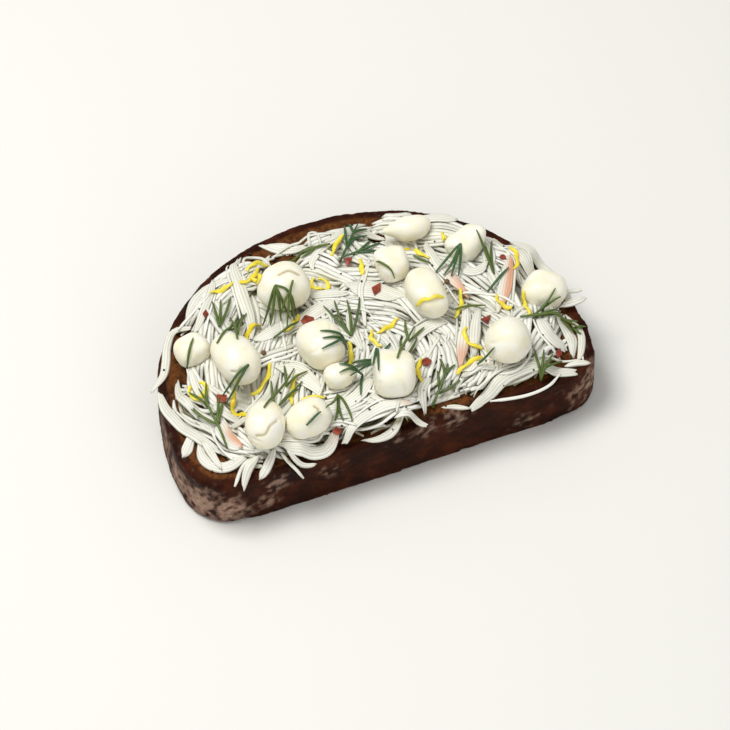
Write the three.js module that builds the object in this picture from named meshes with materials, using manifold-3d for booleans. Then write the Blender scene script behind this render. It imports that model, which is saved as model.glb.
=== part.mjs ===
// An open sandwich: a slice of dark rye under a loose heap of shredded crab, with soft
// white cheese curds, dill sprigs, curls of lemon zest and chilli flakes.
//
// Millimetres, +Z up. The origin is on the slice's underside, X runs along its straight
// bottom crust and Y points from there to its domed top crust.

import * as THREE from "three";
import { mergeVertices } from "three/addons/utils/BufferGeometryUtils.js";
import Module from "manifold-3d";

const wasm = await Module();
wasm.setup();
const { Manifold, Mesh: SolidMesh } = wasm;

// ---------------------------------------------------------------- driving dimensions

const SLICE = {
  thick: 23, // over the crust
  halfLength: 76.5,
  front: -48, // the straight crust, which was the loaf's bottom
  back: 49, // the top of its dome
  crust: 3.4, // width of the crust as the cut face shows it
  sunk: 0.9, // how far the crumb has dried down below the crust's edge
  edge: 1.8, // rounding of the crust's edges
};

const HEAP = {
  foot: 0.12, // how far the packed core's foot is drawn in from the crust, of the way
  height: 7.5, // of the core, before the shreds that lie on it
  fill: 8, // unnamed shreds in the lower layer
  fillSpread: [58, 34], // how far from the heap's middle they are strewn
  fillHalf: [11, 17], // half their length
  fillBow: 4, // how far they bow out
  fillWidth: [3.2, 4.6],
};

const GAP = 0.3; // left between separate pieces
const SEAT = 0.4; // the same, between a curd and the seat cut for it
const SETTLED = {
  rank: 0.6, // a curd stands on this part of what is under it, from low to high
  rise: 0.62, // of its middle above that, as a part of its half height
};
const BITE = 0.9; // how far a fused shred sinks into what it lies on
const NIP = 0.45; // the same for zest and strings
const SLACK = 0.2; // by which facets too small to matter may be merged
const GRAIN = 0.005; // corners closer than this are one
const SCRAP = 4; // the most that may come off a solid as loose scraps, in cubic millimetres
const BEAD = 0.5; // across the beads that join what would only touch

const RIBBON = { width: 1.5, thick: 1.1, bend: 40 }; // of zest; the turn of one facet, in degrees
const CHIP = {
  thick: 1,
  lift: 0.15, // of its middle above what it lies on
  foot: 0.5, // its underside's radius, as a part of its size
  rim: 0.42, // the same for its top
  narrow: 0.72, // its breadth, as a part of its length
};

// ------------------------------------------------------------------- where things lie

// Soft curds: centre, half sizes, turn in degrees, and how boxy (2 is an ellipsoid).
const CURDS = [
  { at: [-58.4, 6.0], half: [6.2, 5.5, 5.4], turn: 10, boxy: 2.6 },
  { at: [-46.1, -5.4], half: [7.4, 10.2, 7.0], turn: 14, boxy: 2.3 },
  { at: [-20.3, 16.9], half: [8.8, 8.5, 7.7], turn: 20, boxy: 2.2 },
  { at: [-16.6, -10.4], half: [7.8, 9.0, 7.4], turn: 8, boxy: 2.5 },
  { at: [-14.8, -23.8], half: [5.4, 4.4, 4.6], turn: -10, boxy: 2.2 },
  { at: [-45.8, -34.7], half: [6.9, 8.8, 7.6], turn: -16, boxy: 2.1 },
  { at: [-30.6, -36.8], half: [8.3, 6.6, 6.6], turn: 12, boxy: 2.2 },
  { at: [2.9, -30.6], half: [7.2, 7.8, 7.0], turn: -12, boxy: 3.0 },
  { at: [18.5, 13.7], half: [5.6, 5.6, 5.4], turn: 4, boxy: 3.0 },
  { at: [25.6, -2.2], half: [6.4, 9.8, 6.2], turn: 6, boxy: 2.5 },
  { at: [31.1, 28.4], half: [7.1, 4.7, 4.6], turn: -8, boxy: 2.1, tip: 0.55 },
  { at: [46.4, 14.6], half: [6.5, 5.3, 5.2], turn: 24, boxy: 3.1 },
  { at: [66.2, -11.3], half: [7.2, 6.3, 5.8], turn: -28, boxy: 2.7 },
  { at: [45.0, -31.0], half: [8.0, 8.3, 8.2], turn: 0, boxy: 2.05 },
];

// Named shreds, lowest first: width, then the points that each one passes. Those in
// SPRUNG, by place in the list, stand straight out past the crust.
const SPRUNG = [27, 28];
const SHREDS = [
  // left end
  [4.2, [-33, 30], [-42, 31], [-50, 27], [-56, 20]],
  [3.2, [-66, 1], [-68, -9], [-65, -21]],
  [3.0, [-61, 1], [-62, -9], [-61, -19]],
  [5.0, [-67, -24], [-68, -34], [-63, -40], [-54, -40]],
  [4.2, [-68, -23], [-72, -28], [-75.2, -31.3]],
  [4.2, [-73, -1], [-73.8, -10], [-71, -20], [-66, -29], [-61, -36]],
  [2.8, [-67, -28], [-65, -36], [-64, -42.5]],
  [3.2, [-40.5, 34], [-45, 26], [-55, 13]],
  [3.2, [-54, 16], [-60, 20], [-64.5, 15], [-67.5, 8], [-70.5, 3], [-77, -1.8]],
  [6.0, [-59.5, -20.5], [-59, -30], [-55, -37.5]],
  [3.6, [-60, -17], [-55, -24], [-50, -26], [-43, -24]],
  [3.2, [-57, -29], [-48, -25], [-40, -20], [-31, -10]],
  // back
  [5.0, [-20, 45.5], [-14, 41], [-4, 35]],
  [4.0, [-17, 39], [-24, 34], [-33, 29]],
  [3.2, [-8, 22], [-6, 28], [1, 33], [8, 36]],
  [3.2, [0, 33], [9, 36.5], [17, 35], [23, 31]],
  [6.0, [-38, 2], [-24, 4], [-10, 7], [-1, 9]],
  [4.0, [-13, 13], [-6, 12], [2, 10]],
  [8.0, [-1, 13], [8, 9], [14, 4], [20, -1]],
  [4.6, [-28, 43], [-33, 35], [-34, 24], [-35, 11], [-39, 0]],
  [2.2, [14, 23], [10, 17], [5, 9], [3, 0], [1, -7]],
  // right end
  [5.0, [33, 34], [41, 31.5], [49, 27.5]],
  [4.0, [40, 6], [46, 3.5], [53, 6]],
  [4.2, [34, 24], [34, 12], [38, 2], [41, -6]],
  [6.0, [54, 19], [60, 14], [64, 5], [65, -4]],
  [4.0, [62, 14], [67.5, 7], [72, -2], [74.2, -10], [73.6, -18]],
  [5.0, [60, 7], [54, -5], [47, -17]],
  [1.6, [70, -10], [80, -12.4]],
  [3.2, [68, -17], [75, -17.6], [80, -16.8]],
  [5.0, [60, -21], [61, -29], [66, -36]],
  [4.0, [66, -22], [69, -30], [66, -39]],
  [3.0, [71, -20], [73, -29], [70, -37], [66, -41]],
  [2.6, [62, -40], [68, -41], [72.5, -42]],
  // front, right half
  [4.6, [26.3, -35], [31, -24], [36, -14], [39, -5]],
  [4.0, [33, -30], [37, -20], [42, -10]],
  [5.0, [9, -22], [15, -16.5], [23, -12.5], [30, -14]],
  [4.0, [25, -36], [33, -34], [40, -37]],
  [4.0, [26, -35], [30, -33.5], [34, -31]],
  [3.0, [34, -41.4], [46, -41], [58, -41.6]],
  [5.0, [24, -47], [33, -43], [43, -39.5], [54, -40.5], [67, -44.5]],
  [3.6, [17, -31], [11, -37], [9, -45]],
  [2.2, [15, -42], [20, -43], [26, -46]],
  [1.3, [33, -45.5], [45, -47.3], [54, -46.5], [60, -43.5]],
  // front, left half
  [3.6, [-2, 4], [-3, -6], [-3, -17]],
  [7.0, [-36, -10], [-28, -14], [-23, -22], [-21, -29]],
  [5.0, [-29, -28], [-20, -33], [-11, -32], [-3, -26]],
  [4.0, [-7, -33], [0, -38], [5, -41]],
  [5.0, [-45, -41], [-37, -44.5], [-28, -46], [-20, -41]],
  [3.2, [-16, -45.5], [-8, -47], [0, -44.5], [5, -41]],
  [4.0, [-23, -47.5], [-15, -42.5], [-5, -39.5], [7, -41.5]],
  [3.0, [-3, -44], [4, -44.5], [9.5, -47.5]],
  [1.5, [-50, -41], [-57, -43], [-62, -48.5]],
  [3.2, [-49, -41], [-56, -45], [-60, -50.5]],
  [3.6, [-44, -40], [-50, -46], [-53.5, -49]],
  [1.7, [-43, -43], [-40, -48.5], [-38, -52]],
  [2.1, [-42, -43], [-38, -48], [-32, -49.5]],
  // thin strings that stand off the crumb in loops
  [1.2, [-30, 33], [-27, 39.5], [-22, 38.5], [-19, 33]],
  [1.2, [-5, 33], [-3, 40.5], [-0.5, 39.5], [-1, 33]],
];

// Curls of zest: middle, heading in degrees, length, and how far each turns, in degrees.
const ZEST = [
  { at: [-40, 27], heading: 5, length: 9, turn: 70 },
  { at: [-29, 28], heading: 28, length: 10, turn: 60 },
  { at: [-25, 33], heading: 15, length: 10, turn: -60 },
  { at: [-28, 23.5], heading: 90, length: 9, turn: 150 },
  { at: [-36.5, 6.5], heading: 45, length: 11, turn: -60 },
  { at: [-7, 18], heading: 0, length: 18, turn: 340 },
  { at: [-22, 4], heading: 35, length: 10, turn: 50 },
  { at: [4, 31], heading: 45, length: 10, turn: -50 },
  { at: [9, 19], heading: 75, length: 7, turn: 10 },
  { at: [25.5, 22.5], heading: 5, length: 8, turn: -60 },
  { at: [30, 17.5], heading: -62, length: 9, turn: 60 },
  { at: [40.5, 20.5], heading: 80, length: 6, turn: -10 },
  { at: [61, 4], heading: 78, length: 11, turn: 80 },
  { at: [50, -13], heading: -62, length: 9, turn: 75 },
  { at: [57.5, -16], heading: 85, length: 9, turn: -35 },
  { at: [36, -7], heading: 60, length: 12, turn: 60 },
  { at: [9, -8.5], heading: 20, length: 10, turn: 45 },
  { at: [2.5, -12], heading: 95, length: 9, turn: -110 },
  { at: [34, -23], heading: -75, length: 12, turn: 120 },
  { at: [30, -32.5], heading: 18, length: 11, turn: -25 },
  { at: [13, -29], heading: 70, length: 10, turn: -90 },
  { at: [-7.5, -15], heading: 70, length: 12, turn: 30 },
  { at: [-26.5, -27.5], heading: 0, length: 10, turn: -60 },
  { at: [-31, -21.5], heading: 62, length: 12, turn: -20 },
  { at: [-39, -14], heading: 42, length: 14, turn: 60 },
  { at: [-51, -20.5], heading: 90, length: 15, turn: -150 },
  { at: [-62, -11], heading: 0, length: 16, turn: 300 },
];
const CURD_ZEST = { curd: 9, at: [24.4, -8.4], heading: -8, length: 9.6, turn: 25 };

// Chilli flakes and two chips of peppercorn: middle, heading in degrees and size.
const FLAKES = [
  { at: [-49, 18.5], heading: 70, size: 3.6 },
  { at: [-16.4, 3.6], heading: 0, size: 5.0 },
  { at: [5.4, 23.3], heading: -70, size: 4.2 },
  { at: [10.5, 7], heading: 55, size: 5.2 },
  { at: [57, 5.7], heading: 0, size: 3.0 },
  { at: [35, 2.8], heading: 20, size: 2.8 },
  { at: [42, -17.5], heading: 50, size: 4.4 },
  { at: [16.2, -27], heading: 20, size: 4.2 },
  { at: [62, -36.8], heading: 60, size: 3.8 },
  { at: [-55.4, -16.8], heading: 10, size: 4.6 },
  { at: [-22.5, -43.2], heading: 0, size: 3.6 },
  { at: [-35.4, -3.8], heading: 80, size: 3.2 },
];

// Dill: where each sprig is joined, its heading, its length, how many needles it has
// and over what angle they spread. A plume sets its needles along a stem.
const DILL = [
  { at: [-46.5, 11.5], heading: 68, length: 15, needles: 3, spread: 30 },
  { at: [-51.5, -1], heading: 46, length: 20, needles: 3, spread: 22, plume: true },
  { at: [-44.5, -2.4], heading: 72, length: 18, needles: 2, spread: 16 },
  { at: [-25, 13.5], heading: -95, length: 10, needles: 5, spread: 100 },
  { at: [-18.5, 13], heading: -120, length: 12, needles: 2, spread: 60, plume: true },
  { at: [-30.4, 0.2], heading: 17, length: 11, needles: 1, spread: 0 },
  { at: [-4.5, -7.5], heading: 84, length: 17, needles: 4, spread: 50 },
  { at: [2, 32], heading: 178, length: 15, needles: 3, spread: 34, plume: true },
  { at: [3.2, 24.8], heading: 50, length: 18, needles: 4, spread: 60, plume: true },
  { at: [3.8, 25.4], heading: 5, length: 17, needles: 2, spread: 60, plume: true },
  { at: [12.8, 14], heading: -58, length: 8, needles: 1, spread: 0 },
  { at: [27.5, 16.5], heading: -48, length: 7, needles: 1, spread: 0 },
  { at: [43.5, 12], heading: -136, length: 13, needles: 4, spread: 42 },
  { at: [51.5, 0], heading: 83, length: 16, needles: 3, spread: 22 },
  { at: [46.9, -6.2], heading: 32, length: 12, needles: 1, spread: 0 },
  { at: [33.5, -9], heading: -9, length: 11, needles: 1, spread: 0 },
  { at: [58.9, -21], heading: 8, length: 12, needles: 4, spread: 44 },
  { at: [53.5, -20.6], heading: -11, length: 14, needles: 1, spread: 0 },
  { at: [63.3, -23], heading: -28, length: 12, needles: 4, spread: 60, plume: true },
  { at: [32.5, -34], heading: -10, length: 6, needles: 1, spread: 0 },
  { at: [52.5, -44], heading: 54, length: 12, needles: 4, spread: 58 },
  { at: [13.2, -41.8], heading: 50, length: 15.5, needles: 5, spread: 80, plume: true },
  { at: [-17, -28.5], heading: -108, length: 16, needles: 4, spread: 40 },
  { at: [-33.5, -42.5], heading: 24, length: 7, needles: 1, spread: 0 },
  { at: [-45.5, -33], heading: 47, length: 26, needles: 5, spread: 46, plume: true },
  { at: [-60, -35.5], heading: 94, length: 25, needles: 6, spread: 54, plume: true },
  { at: [-44, -13], heading: -158, length: 14, needles: 2, spread: 16 },
  { at: [-8.2, -13.9], heading: 176, length: 12, needles: 3, spread: 40 },
  { at: [7, -15.9], heading: -149, length: 22, needles: 7, spread: 64, plume: true },
  { at: [4.5, -29.7], heading: 54, length: 22, needles: 4, spread: 40, plume: true },
  { at: [-62.4, -0.4], heading: 56, length: 8.8, needles: 1, spread: 0 },
];

// -------------------------------------------------------------------- small helpers

const radians = THREE.MathUtils.degToRad;
const lerp = THREE.MathUtils.lerp;

// A repeatable stream of numbers from 0 to 1.
function stream(seed) {
  let state = seed;
  return () => {
    state = (state + 0x6d2b79f5) | 0;
    let t = Math.imul(state ^ (state >>> 15), 1 | state);
    t = (t + Math.imul(t ^ (t >>> 7), 61 | t)) ^ t;
    return ((t ^ (t >>> 14)) >>> 0) / 2 ** 32;
  };
}

// Gentle unevenness from -1 to 1, with bumps about `size` across.
function uneven(x, y, size) {
  const [u, v] = [x / size, y / size];
  return (Math.sin(3.1 * u + 1.7 * Math.sin(2.3 * v)) + Math.sin(2.9 * v + 1.3 * Math.sin(1.9 * u + 1))) / 2;
}

// A lathed skin of `rows` rows by `around` columns, closed at both poles, whose every
// vertex is then put where place(row, column) says.
function skin(rows, around, place) {
  const profile = Array.from({ length: rows }, (_, row) => new THREE.Vector2(row % (rows - 1) ? 1 : 0, row));
  const geometry = new THREE.LatheGeometry(profile, around);
  const position = geometry.getAttribute("position");
  for (let i = 0; i < position.count; i++) {
    const column = Math.floor(i / rows) % around;
    position.setXYZ(i, ...place(i % rows, column));
  }
  return geometry;
}

// A geometry with its corners joined and its collapsed faces dropped.
function joined(geometry) {
  const bare = geometry.clone();
  bare.deleteAttribute("normal");
  bare.deleteAttribute("uv");
  const merged = mergeVertices(bare, 1e-4);
  const corners = [];
  for (let i = 0; i < merged.index.count; i += 3) {
    const [a, b, c] = [0, 1, 2].map((k) => merged.index.getX(i + k));
    if (a !== b && b !== c && a !== c) corners.push(a, b, c);
  }
  return merged.setIndex(corners);
}

// A three.js geometry as a closed solid, turned right side out.
function solid(geometry) {
  const closed = joined(geometry);
  const vertProperties = closed.attributes.position.array;
  const corners = Uint32Array.from(closed.index.array);
  const build = () => new Manifold(new SolidMesh({ numProp: 3, vertProperties, triVerts: corners }));
  const made = build();
  if (made.volume() > 0) return made;
  for (let i = 0; i < corners.length; i += 3) corners.subarray(i, i + 3).reverse();
  return build();
}

// The edges along which a closed geometry only touches itself, as pairs of points.
function pinches(geometry) {
  const { index } = geometry;
  const position = geometry.getAttribute("position");
  const uses = new Map();
  for (let i = 0; i < index.count; i++) {
    const ends = [index.getX(i), index.getX(i - (i % 3) + ((i + 1) % 3))].sort((a, b) => a - b);
    uses.set(ends.join(), [...(uses.get(ends.join()) ?? []), ends]);
  }
  const shared = [...uses.values()].filter((list) => list.length > 2);
  return shared.map(([ends]) => ends.map((end) => new THREE.Vector3().fromBufferAttribute(position, end)));
}

// A bead along an edge: the hull of a small cube at either end.
function bead(ends) {
  const corners = new THREE.BoxGeometry(BEAD, BEAD, BEAD).getAttribute("position").array;
  const points = ends.flatMap(({ x, y, z }) =>
    Array.from({ length: corners.length / 3 }, (_, i) => [
      x + corners[3 * i],
      y + corners[3 * i + 1],
      z + corners[3 * i + 2],
    ]),
  );
  return Manifold.hull(points);
}

// A solid as a three.js geometry, with its corners moved to the nearest grain. A bead
// joins what would then only touch.
function geometryOf(made) {
  const mesh = made.getMesh();
  const position = Float32Array.from(mesh.vertProperties, (v) => Math.round(v / GRAIN) * GRAIN);
  const geometry = joined(
    new THREE.BufferGeometry()
      .setAttribute("position", new THREE.BufferAttribute(position, 3))
      .setIndex(new THREE.BufferAttribute(Uint32Array.from(mesh.triVerts), 1)),
  );
  const edges = pinches(geometry);
  return edges.length ? geometryOf(Manifold.union([made, ...edges.map(bead)])) : geometry;
}

// A solid's largest body, without slivers. Loose scraps go, but nothing as large as a
// shred's end: that would be one cut off from the rest, which has to be joined to it.
function tidied(made) {
  const bodies = made.asOriginal().simplify(SLACK).decompose();
  const [largest, ...loose] = bodies.sort((a, b) => b.volume() - a.volume());
  const lost = loose.reduce((sum, body) => sum + body.volume(), 0);
  if (lost > SCRAP) throw new Error(`${lost.toFixed(1)} cubic millimetres are cut off`);
  return largest;
}

// ------------------------------------------------------------------- the slice's outline

// The domed tin-loaf outline, once round from the right end of its straight crust.
function sliceOutline() {
  const { halfLength: h, front, back } = SLICE;
  const shape = new THREE.Shape();
  shape.moveTo(57, front + 1.8);
  shape.bezierCurveTo(68, front + 1.9, h - 0.6, -43, h - 0.4, -32);
  shape.bezierCurveTo(h, -18, 74.5, -2, 70.5, 6);
  shape.bezierCurveTo(60, 29, 36, back, 0, back);
  shape.bezierCurveTo(-32, back, -54, 34, -67, 14.5);
  shape.bezierCurveTo(-74.5, 3, -h, -14, -h, -26);
  shape.bezierCurveTo(-h, -40, -71, front - 0.2, -59, front - 0.4);
  shape.bezierCurveTo(-20, front - 1, 20, front + 1.6, 57, front + 1.8);
  return shape;
}

const OUTLINE_POINTS = 52;
const outline = sliceOutline().getSpacedPoints(OUTLINE_POINTS).slice(0, OUTLINE_POINTS);
const HUB = new THREE.Vector2(4, -5); // what the rings draw in to

// The outline's inward direction at one of its points.
function inward(index) {
  const n = outline.length;
  const along = outline[(index + 1) % n].clone().sub(outline[(index + n - 1) % n]).normalize();
  return new THREE.Vector2(-along.y, along.x);
}

// A point `inset` inside the outline, drawn on towards the hub by `share`.
function inside(index, inset, share = 0) {
  return outline[index].clone().addScaledVector(inward(index), inset).lerp(HUB, share);
}

// How far a point lies outside the outline, which is negative inside it.
function outsideBy(x, y) {
  let nearest = Infinity;
  let crossings = 0;
  outline.forEach((a, i) => {
    const b = outline[(i + 1) % outline.length];
    const [dx, dy] = [b.x - a.x, b.y - a.y];
    const t = THREE.MathUtils.clamp(((x - a.x) * dx + (y - a.y) * dy) / (dx * dx + dy * dy), 0, 1);
    nearest = Math.min(nearest, Math.hypot(x - a.x - t * dx, y - a.y - t * dy));
    if (a.y > y !== b.y > y && x < a.x + ((y - a.y) / dy) * dx) crossings++;
  });
  return crossings % 2 ? -nearest : nearest;
}

// --------------------------------------------------------------------------- the slice

// The crust's section: how far in each ring lies and how high, from underneath to the top.
function ryeSlice() {
  const { thick, edge, crust, sunk } = SLICE;
  const crumb = thick - sunk;
  const rings = [
    { inset: 0, share: 1, z: 0 },
    { inset: edge, z: 0 },
    { inset: edge * 0.3, z: edge * 0.3 },
    { inset: 0, z: edge },
    { inset: -0.35, z: thick * 0.5, rough: 0.5 },
    { inset: 0, z: thick - edge * 1.4 },
    { inset: edge * 0.35, z: thick - edge * 0.4 },
    { inset: edge, z: thick },
    { inset: crust - 0.8, z: thick - 0.1 },
    { inset: crust + 0.4, z: crumb },
    { inset: crust, share: 0.4, z: crumb, relief: 0.25 },
    { inset: 0, share: 1, z: crumb },
  ];
  return skin(rings.length, outline.length, (row, column) => {
    const { inset, share = 0, z, rough = 0, relief = 0 } = rings[row];
    const p = inside(column, inset + rough * uneven(column * 5, row, 20), share);
    return [p.x, p.y, z + relief * uneven(p.x, p.y, 12)];
  });
}

// ------------------------------------------------------------- what lies on what: heights

// A map of how high the pile stands so far, on a half-millimetre grid.
const CELL = 0.5;
const REACH = { x: 84, y: 56 };
const COLUMNS = Math.ceil((2 * REACH.x) / CELL) + 1;
const LINES = Math.ceil((2 * REACH.y) / CELL) + 1;
const height = new Float32Array(COLUMNS * LINES);

const cellOf = (x, y) => {
  const column = THREE.MathUtils.clamp(Math.round((x + REACH.x) / CELL), 0, COLUMNS - 1);
  const line = THREE.MathUtils.clamp(Math.round((y + REACH.y) / CELL), 0, LINES - 1);
  return line * COLUMNS + column;
};
const heightAt = (x, y) => height[cellOf(x, y)];

// Beyond the crust a limp shred droops, as if over a steep bank.
const DROOP = 1.1;
for (let line = 0; line < LINES; line++)
  for (let column = 0; column < COLUMNS; column++) {
    const out = outsideBy(column * CELL - REACH.x, line * CELL - REACH.y);
    height[line * COLUMNS + column] = SLICE.thick - Math.max(0, out - 0.6) * DROOP;
  }

// Raises the map to the top of a geometry's triangles.
function lay(geometry) {
  const flat = geometry.index ? geometry.toNonIndexed() : geometry;
  const position = flat.getAttribute("position");
  for (let i = 0; i < position.count; i += 3) {
    const [a, b, c] = [0, 1, 2].map((k) => new THREE.Vector3().fromBufferAttribute(position, i + k));
    const area = (b.x - a.x) * (c.y - a.y) - (c.x - a.x) * (b.y - a.y);
    if (Math.abs(area) < 1e-9) continue;
    const low = cellOf(Math.min(a.x, b.x, c.x) - CELL, Math.min(a.y, b.y, c.y) - CELL);
    const high = cellOf(Math.max(a.x, b.x, c.x) + CELL, Math.max(a.y, b.y, c.y) + CELL);
    for (let line = Math.floor(low / COLUMNS); line <= Math.floor(high / COLUMNS); line++)
      for (let column = low % COLUMNS; column <= high % COLUMNS; column++) {
        const [x, y] = [column * CELL - REACH.x, line * CELL - REACH.y];
        const u = ((b.x - x) * (c.y - y) - (c.x - x) * (b.y - y)) / area;
        const v = ((c.x - x) * (a.y - y) - (a.x - x) * (c.y - y)) / area;
        if (u < 0 || v < 0 || u + v > 1) continue;
        const cell = line * COLUMNS + column;
        height[cell] = Math.max(height[cell], u * a.z + v * b.z + (1 - u - v) * c.z);
      }
  }
}

// The heights at which a strip of a given half width rests along a path. It bridges dips
// that are shorter than it can bend into: the more passes, the stiffer it is.
function drape(path, halfWidth, passes) {
  const SAMPLES = 5;
  const rests = path.map((p, i) => {
    const [before, after] = [path[Math.max(0, i - 1)], path[Math.min(path.length - 1, i + 1)]];
    const across = new THREE.Vector2(before.y - after.y, after.x - before.x).normalize();
    let top = -Infinity;
    for (let k = -SAMPLES; k <= SAMPLES; k++) {
      const along = p.clone().lerp(k < 0 ? before : after, (Math.abs(k) / SAMPLES) * 0.5);
      for (const side of [-0.5, 0, 0.5]) {
        const q = along.clone().addScaledVector(across, side * halfWidth);
        top = Math.max(top, heightAt(q.x, q.y));
      }
    }
    return top;
  });
  for (let pass = 0; pass < passes; pass++)
    for (let i = 1; i < rests.length - 1; i++) {
      rests[i] = Math.max(rests[i], (rests[i - 1] + rests[i + 1]) / 2);
    }
  return rests;
}

// ----------------------------------------------------------------------- strips and tubes

// A strip along a path of plan points at given heights: a flattened tube of `sides` sides
// whose width follows swell(t), from 0 at its start to 1 at its end.
function strip(path, heights, { width, thick, sides, swell }) {
  const rows = path.length;
  return skin(rows + 2, sides, (row, column) => {
    const i = THREE.MathUtils.clamp(row - 1, 0, rows - 1);
    const pole = row === 0 || row === rows + 1;
    const [before, after] = [path[Math.max(0, i - 1)], path[Math.min(rows - 1, i + 1)]];
    const across = new THREE.Vector2(before.y - after.y, after.x - before.x).normalize();
    const angle = (2 * Math.PI * (column + 0.5)) / sides - Math.PI / 2;
    const size = pole ? 0 : swell(i / (rows - 1));
    const out = (Math.cos(angle) * width * size) / 2;
    const up = (Math.sin(angle) * thick * (pole ? 0 : Math.sqrt(size))) / 2;
    return [path[i].x + across.x * out, path[i].y + across.y * out, heights[i] + up];
  });
}

// A smooth curve through plan points, and evenly spaced plan points on it.
function curveThrough(points) {
  return new THREE.CatmullRomCurve3(points.map(([x, y]) => new THREE.Vector3(x, y, 0)));
}

function planCurve(points, steps) {
  return curveThrough(points).getSpacedPoints(steps).map((p) => new THREE.Vector2(p.x, p.y));
}

// Evenly spaced plan points on an arc through `at`, which turns by `turn` degrees.
function planArc({ at, heading, length, turn }, steps) {
  const points = [new THREE.Vector2()];
  for (let i = 0; i < steps; i++) {
    const angle = radians(heading + turn * ((i + 0.5) / steps - 0.5));
    const step = new THREE.Vector2(Math.cos(angle), Math.sin(angle)).multiplyScalar(length / steps);
    points.push(points[i].clone().add(step));
  }
  const middle = points.reduce((sum, p) => sum.add(p), new THREE.Vector2()).divideScalar(points.length);
  return points.map((p) => p.sub(middle).add(new THREE.Vector2(...at)));
}

// ----------------------------------------------------------------------------- the heap

// The packed core: a low dome with an uneven foot, which everything else lies on.
function heapCore() {
  const base = SLICE.thick + GAP;
  const { foot, height: top } = HEAP;
  const rings = [
    { share: 1, z: 0 },
    { share: foot + 0.02, z: 0 },
    { share: foot, z: 0.8 },
    { share: foot + 0.06, z: top * 0.5 },
    { share: foot + 0.22, z: top * 0.85, relief: 0.4 },
    { share: foot + 0.5, z: top, relief: 0.5 },
    { share: 1, z: top },
  ];
  const around = outline.length / 2;
  return skin(rings.length, around, (row, column) => {
    const { share, z, relief = 0 } = rings[row];
    const ragged = share < 1 ? 0.03 * uneven(column * 7, 3, 11) : 0;
    const p = inside(2 * column, 0, share + ragged);
    return [p.x, p.y, base + z + relief * uneven(p.x, p.y, 9)];
  });
}

const SHRED = { step: 7.5, string: 2, narrow: 4.1 }; // length of a facet, and widths that take fewer sides
const shredThick = (width) => Math.min(2.3, 0.8 + 0.3 * width);
const tapered = (t) => 0.3 + 0.7 * Math.sin(Math.PI * lerp(0.1, 0.9, t)) ** 0.7;

// Lays one shred on the heap, and returns it.
function shred([width, ...points], sprung = false) {
  const length = curveThrough(points).getLength();
  const path = planCurve(points, Math.max(3, Math.round(length / SHRED.step)));
  const thick = shredThick(width);
  const string = width < SHRED.string;
  const bite = string ? NIP : BITE;
  const bare = SLICE.thick + GAP + thick / 2;
  const rests = drape(path, width / 2, 1);
  if (sprung) rests.fill(rests[0]);
  const heights = rests.map((rest) => {
    const z = rest + thick / 2 - bite;
    // It bites only into what is already heaped, and stays clear of the bare slice.
    return rest > SLICE.thick - 1 ? Math.max(z, bare) : z;
  });
  const sides = string ? 3 : width < SHRED.narrow ? 4 : 5;
  const geometry = strip(path, heights, { width, thick, sides, swell: tapered });
  lay(geometry);
  return geometry;
}

// The unnamed shreds of the lower layer, spread evenly by the golden angle.
function fillShreds() {
  const random = stream(11);
  const golden = radians(137.508);
  const [wide, deep] = HEAP.fillSpread;
  return Array.from({ length: HEAP.fill }, (_, i) => {
    const out = Math.sqrt((i + 0.5) / HEAP.fill);
    const middle = [wide * out * Math.cos(i * golden), HUB.y + deep * out * Math.sin(i * golden)];
    const heading = radians(180 * random());
    const half = lerp(...HEAP.fillHalf, random());
    const bow = lerp(-HEAP.fillBow, HEAP.fillBow, random());
    const [dx, dy] = [Math.cos(heading), Math.sin(heading)];
    const along = (t, side) => [middle[0] + dx * t - dy * side, middle[1] + dy * t + dx * side];
    return [lerp(...HEAP.fillWidth, random()), along(-half, 0), along(0, bow), along(half, 0)];
  });
}

// A curl of zest: a narrow ribbon, lying on whatever is under it.
function zestCurl(curl) {
  const { width, thick, bend } = RIBBON;
  const steps = Math.max(4, Math.round(Math.abs(curl.turn) / bend));
  const path = planArc(curl, steps);
  const heights = path.map((p) => heightAt(p.x, p.y) + thick / 2 - NIP);
  const swell = (t) => 0.5 + 0.5 * Math.sin(Math.PI * t);
  return strip(path, heights, { width, thick, sides: 4, swell });
}

// A chilli flake or a chip of peppercorn: a small five-cornered plate.
function chip({ at: [x, y], heading, size }) {
  const { thick, narrow, foot, rim, lift } = CHIP;
  const plate = new THREE.CylinderGeometry(size * rim, size * foot, thick, 5);
  plate.rotateX(Math.PI / 2).scale(1, narrow, 1).rotateZ(radians(heading));
  return plate.translate(x, y, heightAt(x, y) + lift);
}

// ---------------------------------------------------------------------------- the curds

// One soft curd: a lumpy rounded block. `grow` swells it all round, for cutting its seat.
function curd({ at: [x, y], half, turn, boxy, tip = 0 }, index, z, grow = 0) {
  const geometry = new THREE.IcosahedronGeometry(1, 2);
  const position = geometry.getAttribute("position");
  const d = new THREE.Vector3();
  for (let i = 0; i < position.count; i++) {
    d.fromBufferAttribute(position, i).normalize();
    const round = (Math.abs(d.x) ** boxy + Math.abs(d.y) ** boxy + Math.abs(d.z) ** boxy) ** (-1 / boxy);
    const lump = 1 + 0.045 * uneven(d.x * 3 + index * 7, d.y * 3 + d.z * 2, 3);
    const pull = tip * Math.max(0, -d.x) ** 3;
    position.setXYZ(
      i,
      d.x * (half[0] * round * lump * (1 + pull) + grow),
      d.y * (half[1] * round * lump * (1 - 0.75 * pull) + grow),
      d.z * (half[2] * round * lump * (1 - 0.75 * pull) + grow),
    );
  }
  return geometry.rotateZ(radians(turn)).translate(x, y, z);
}

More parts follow.
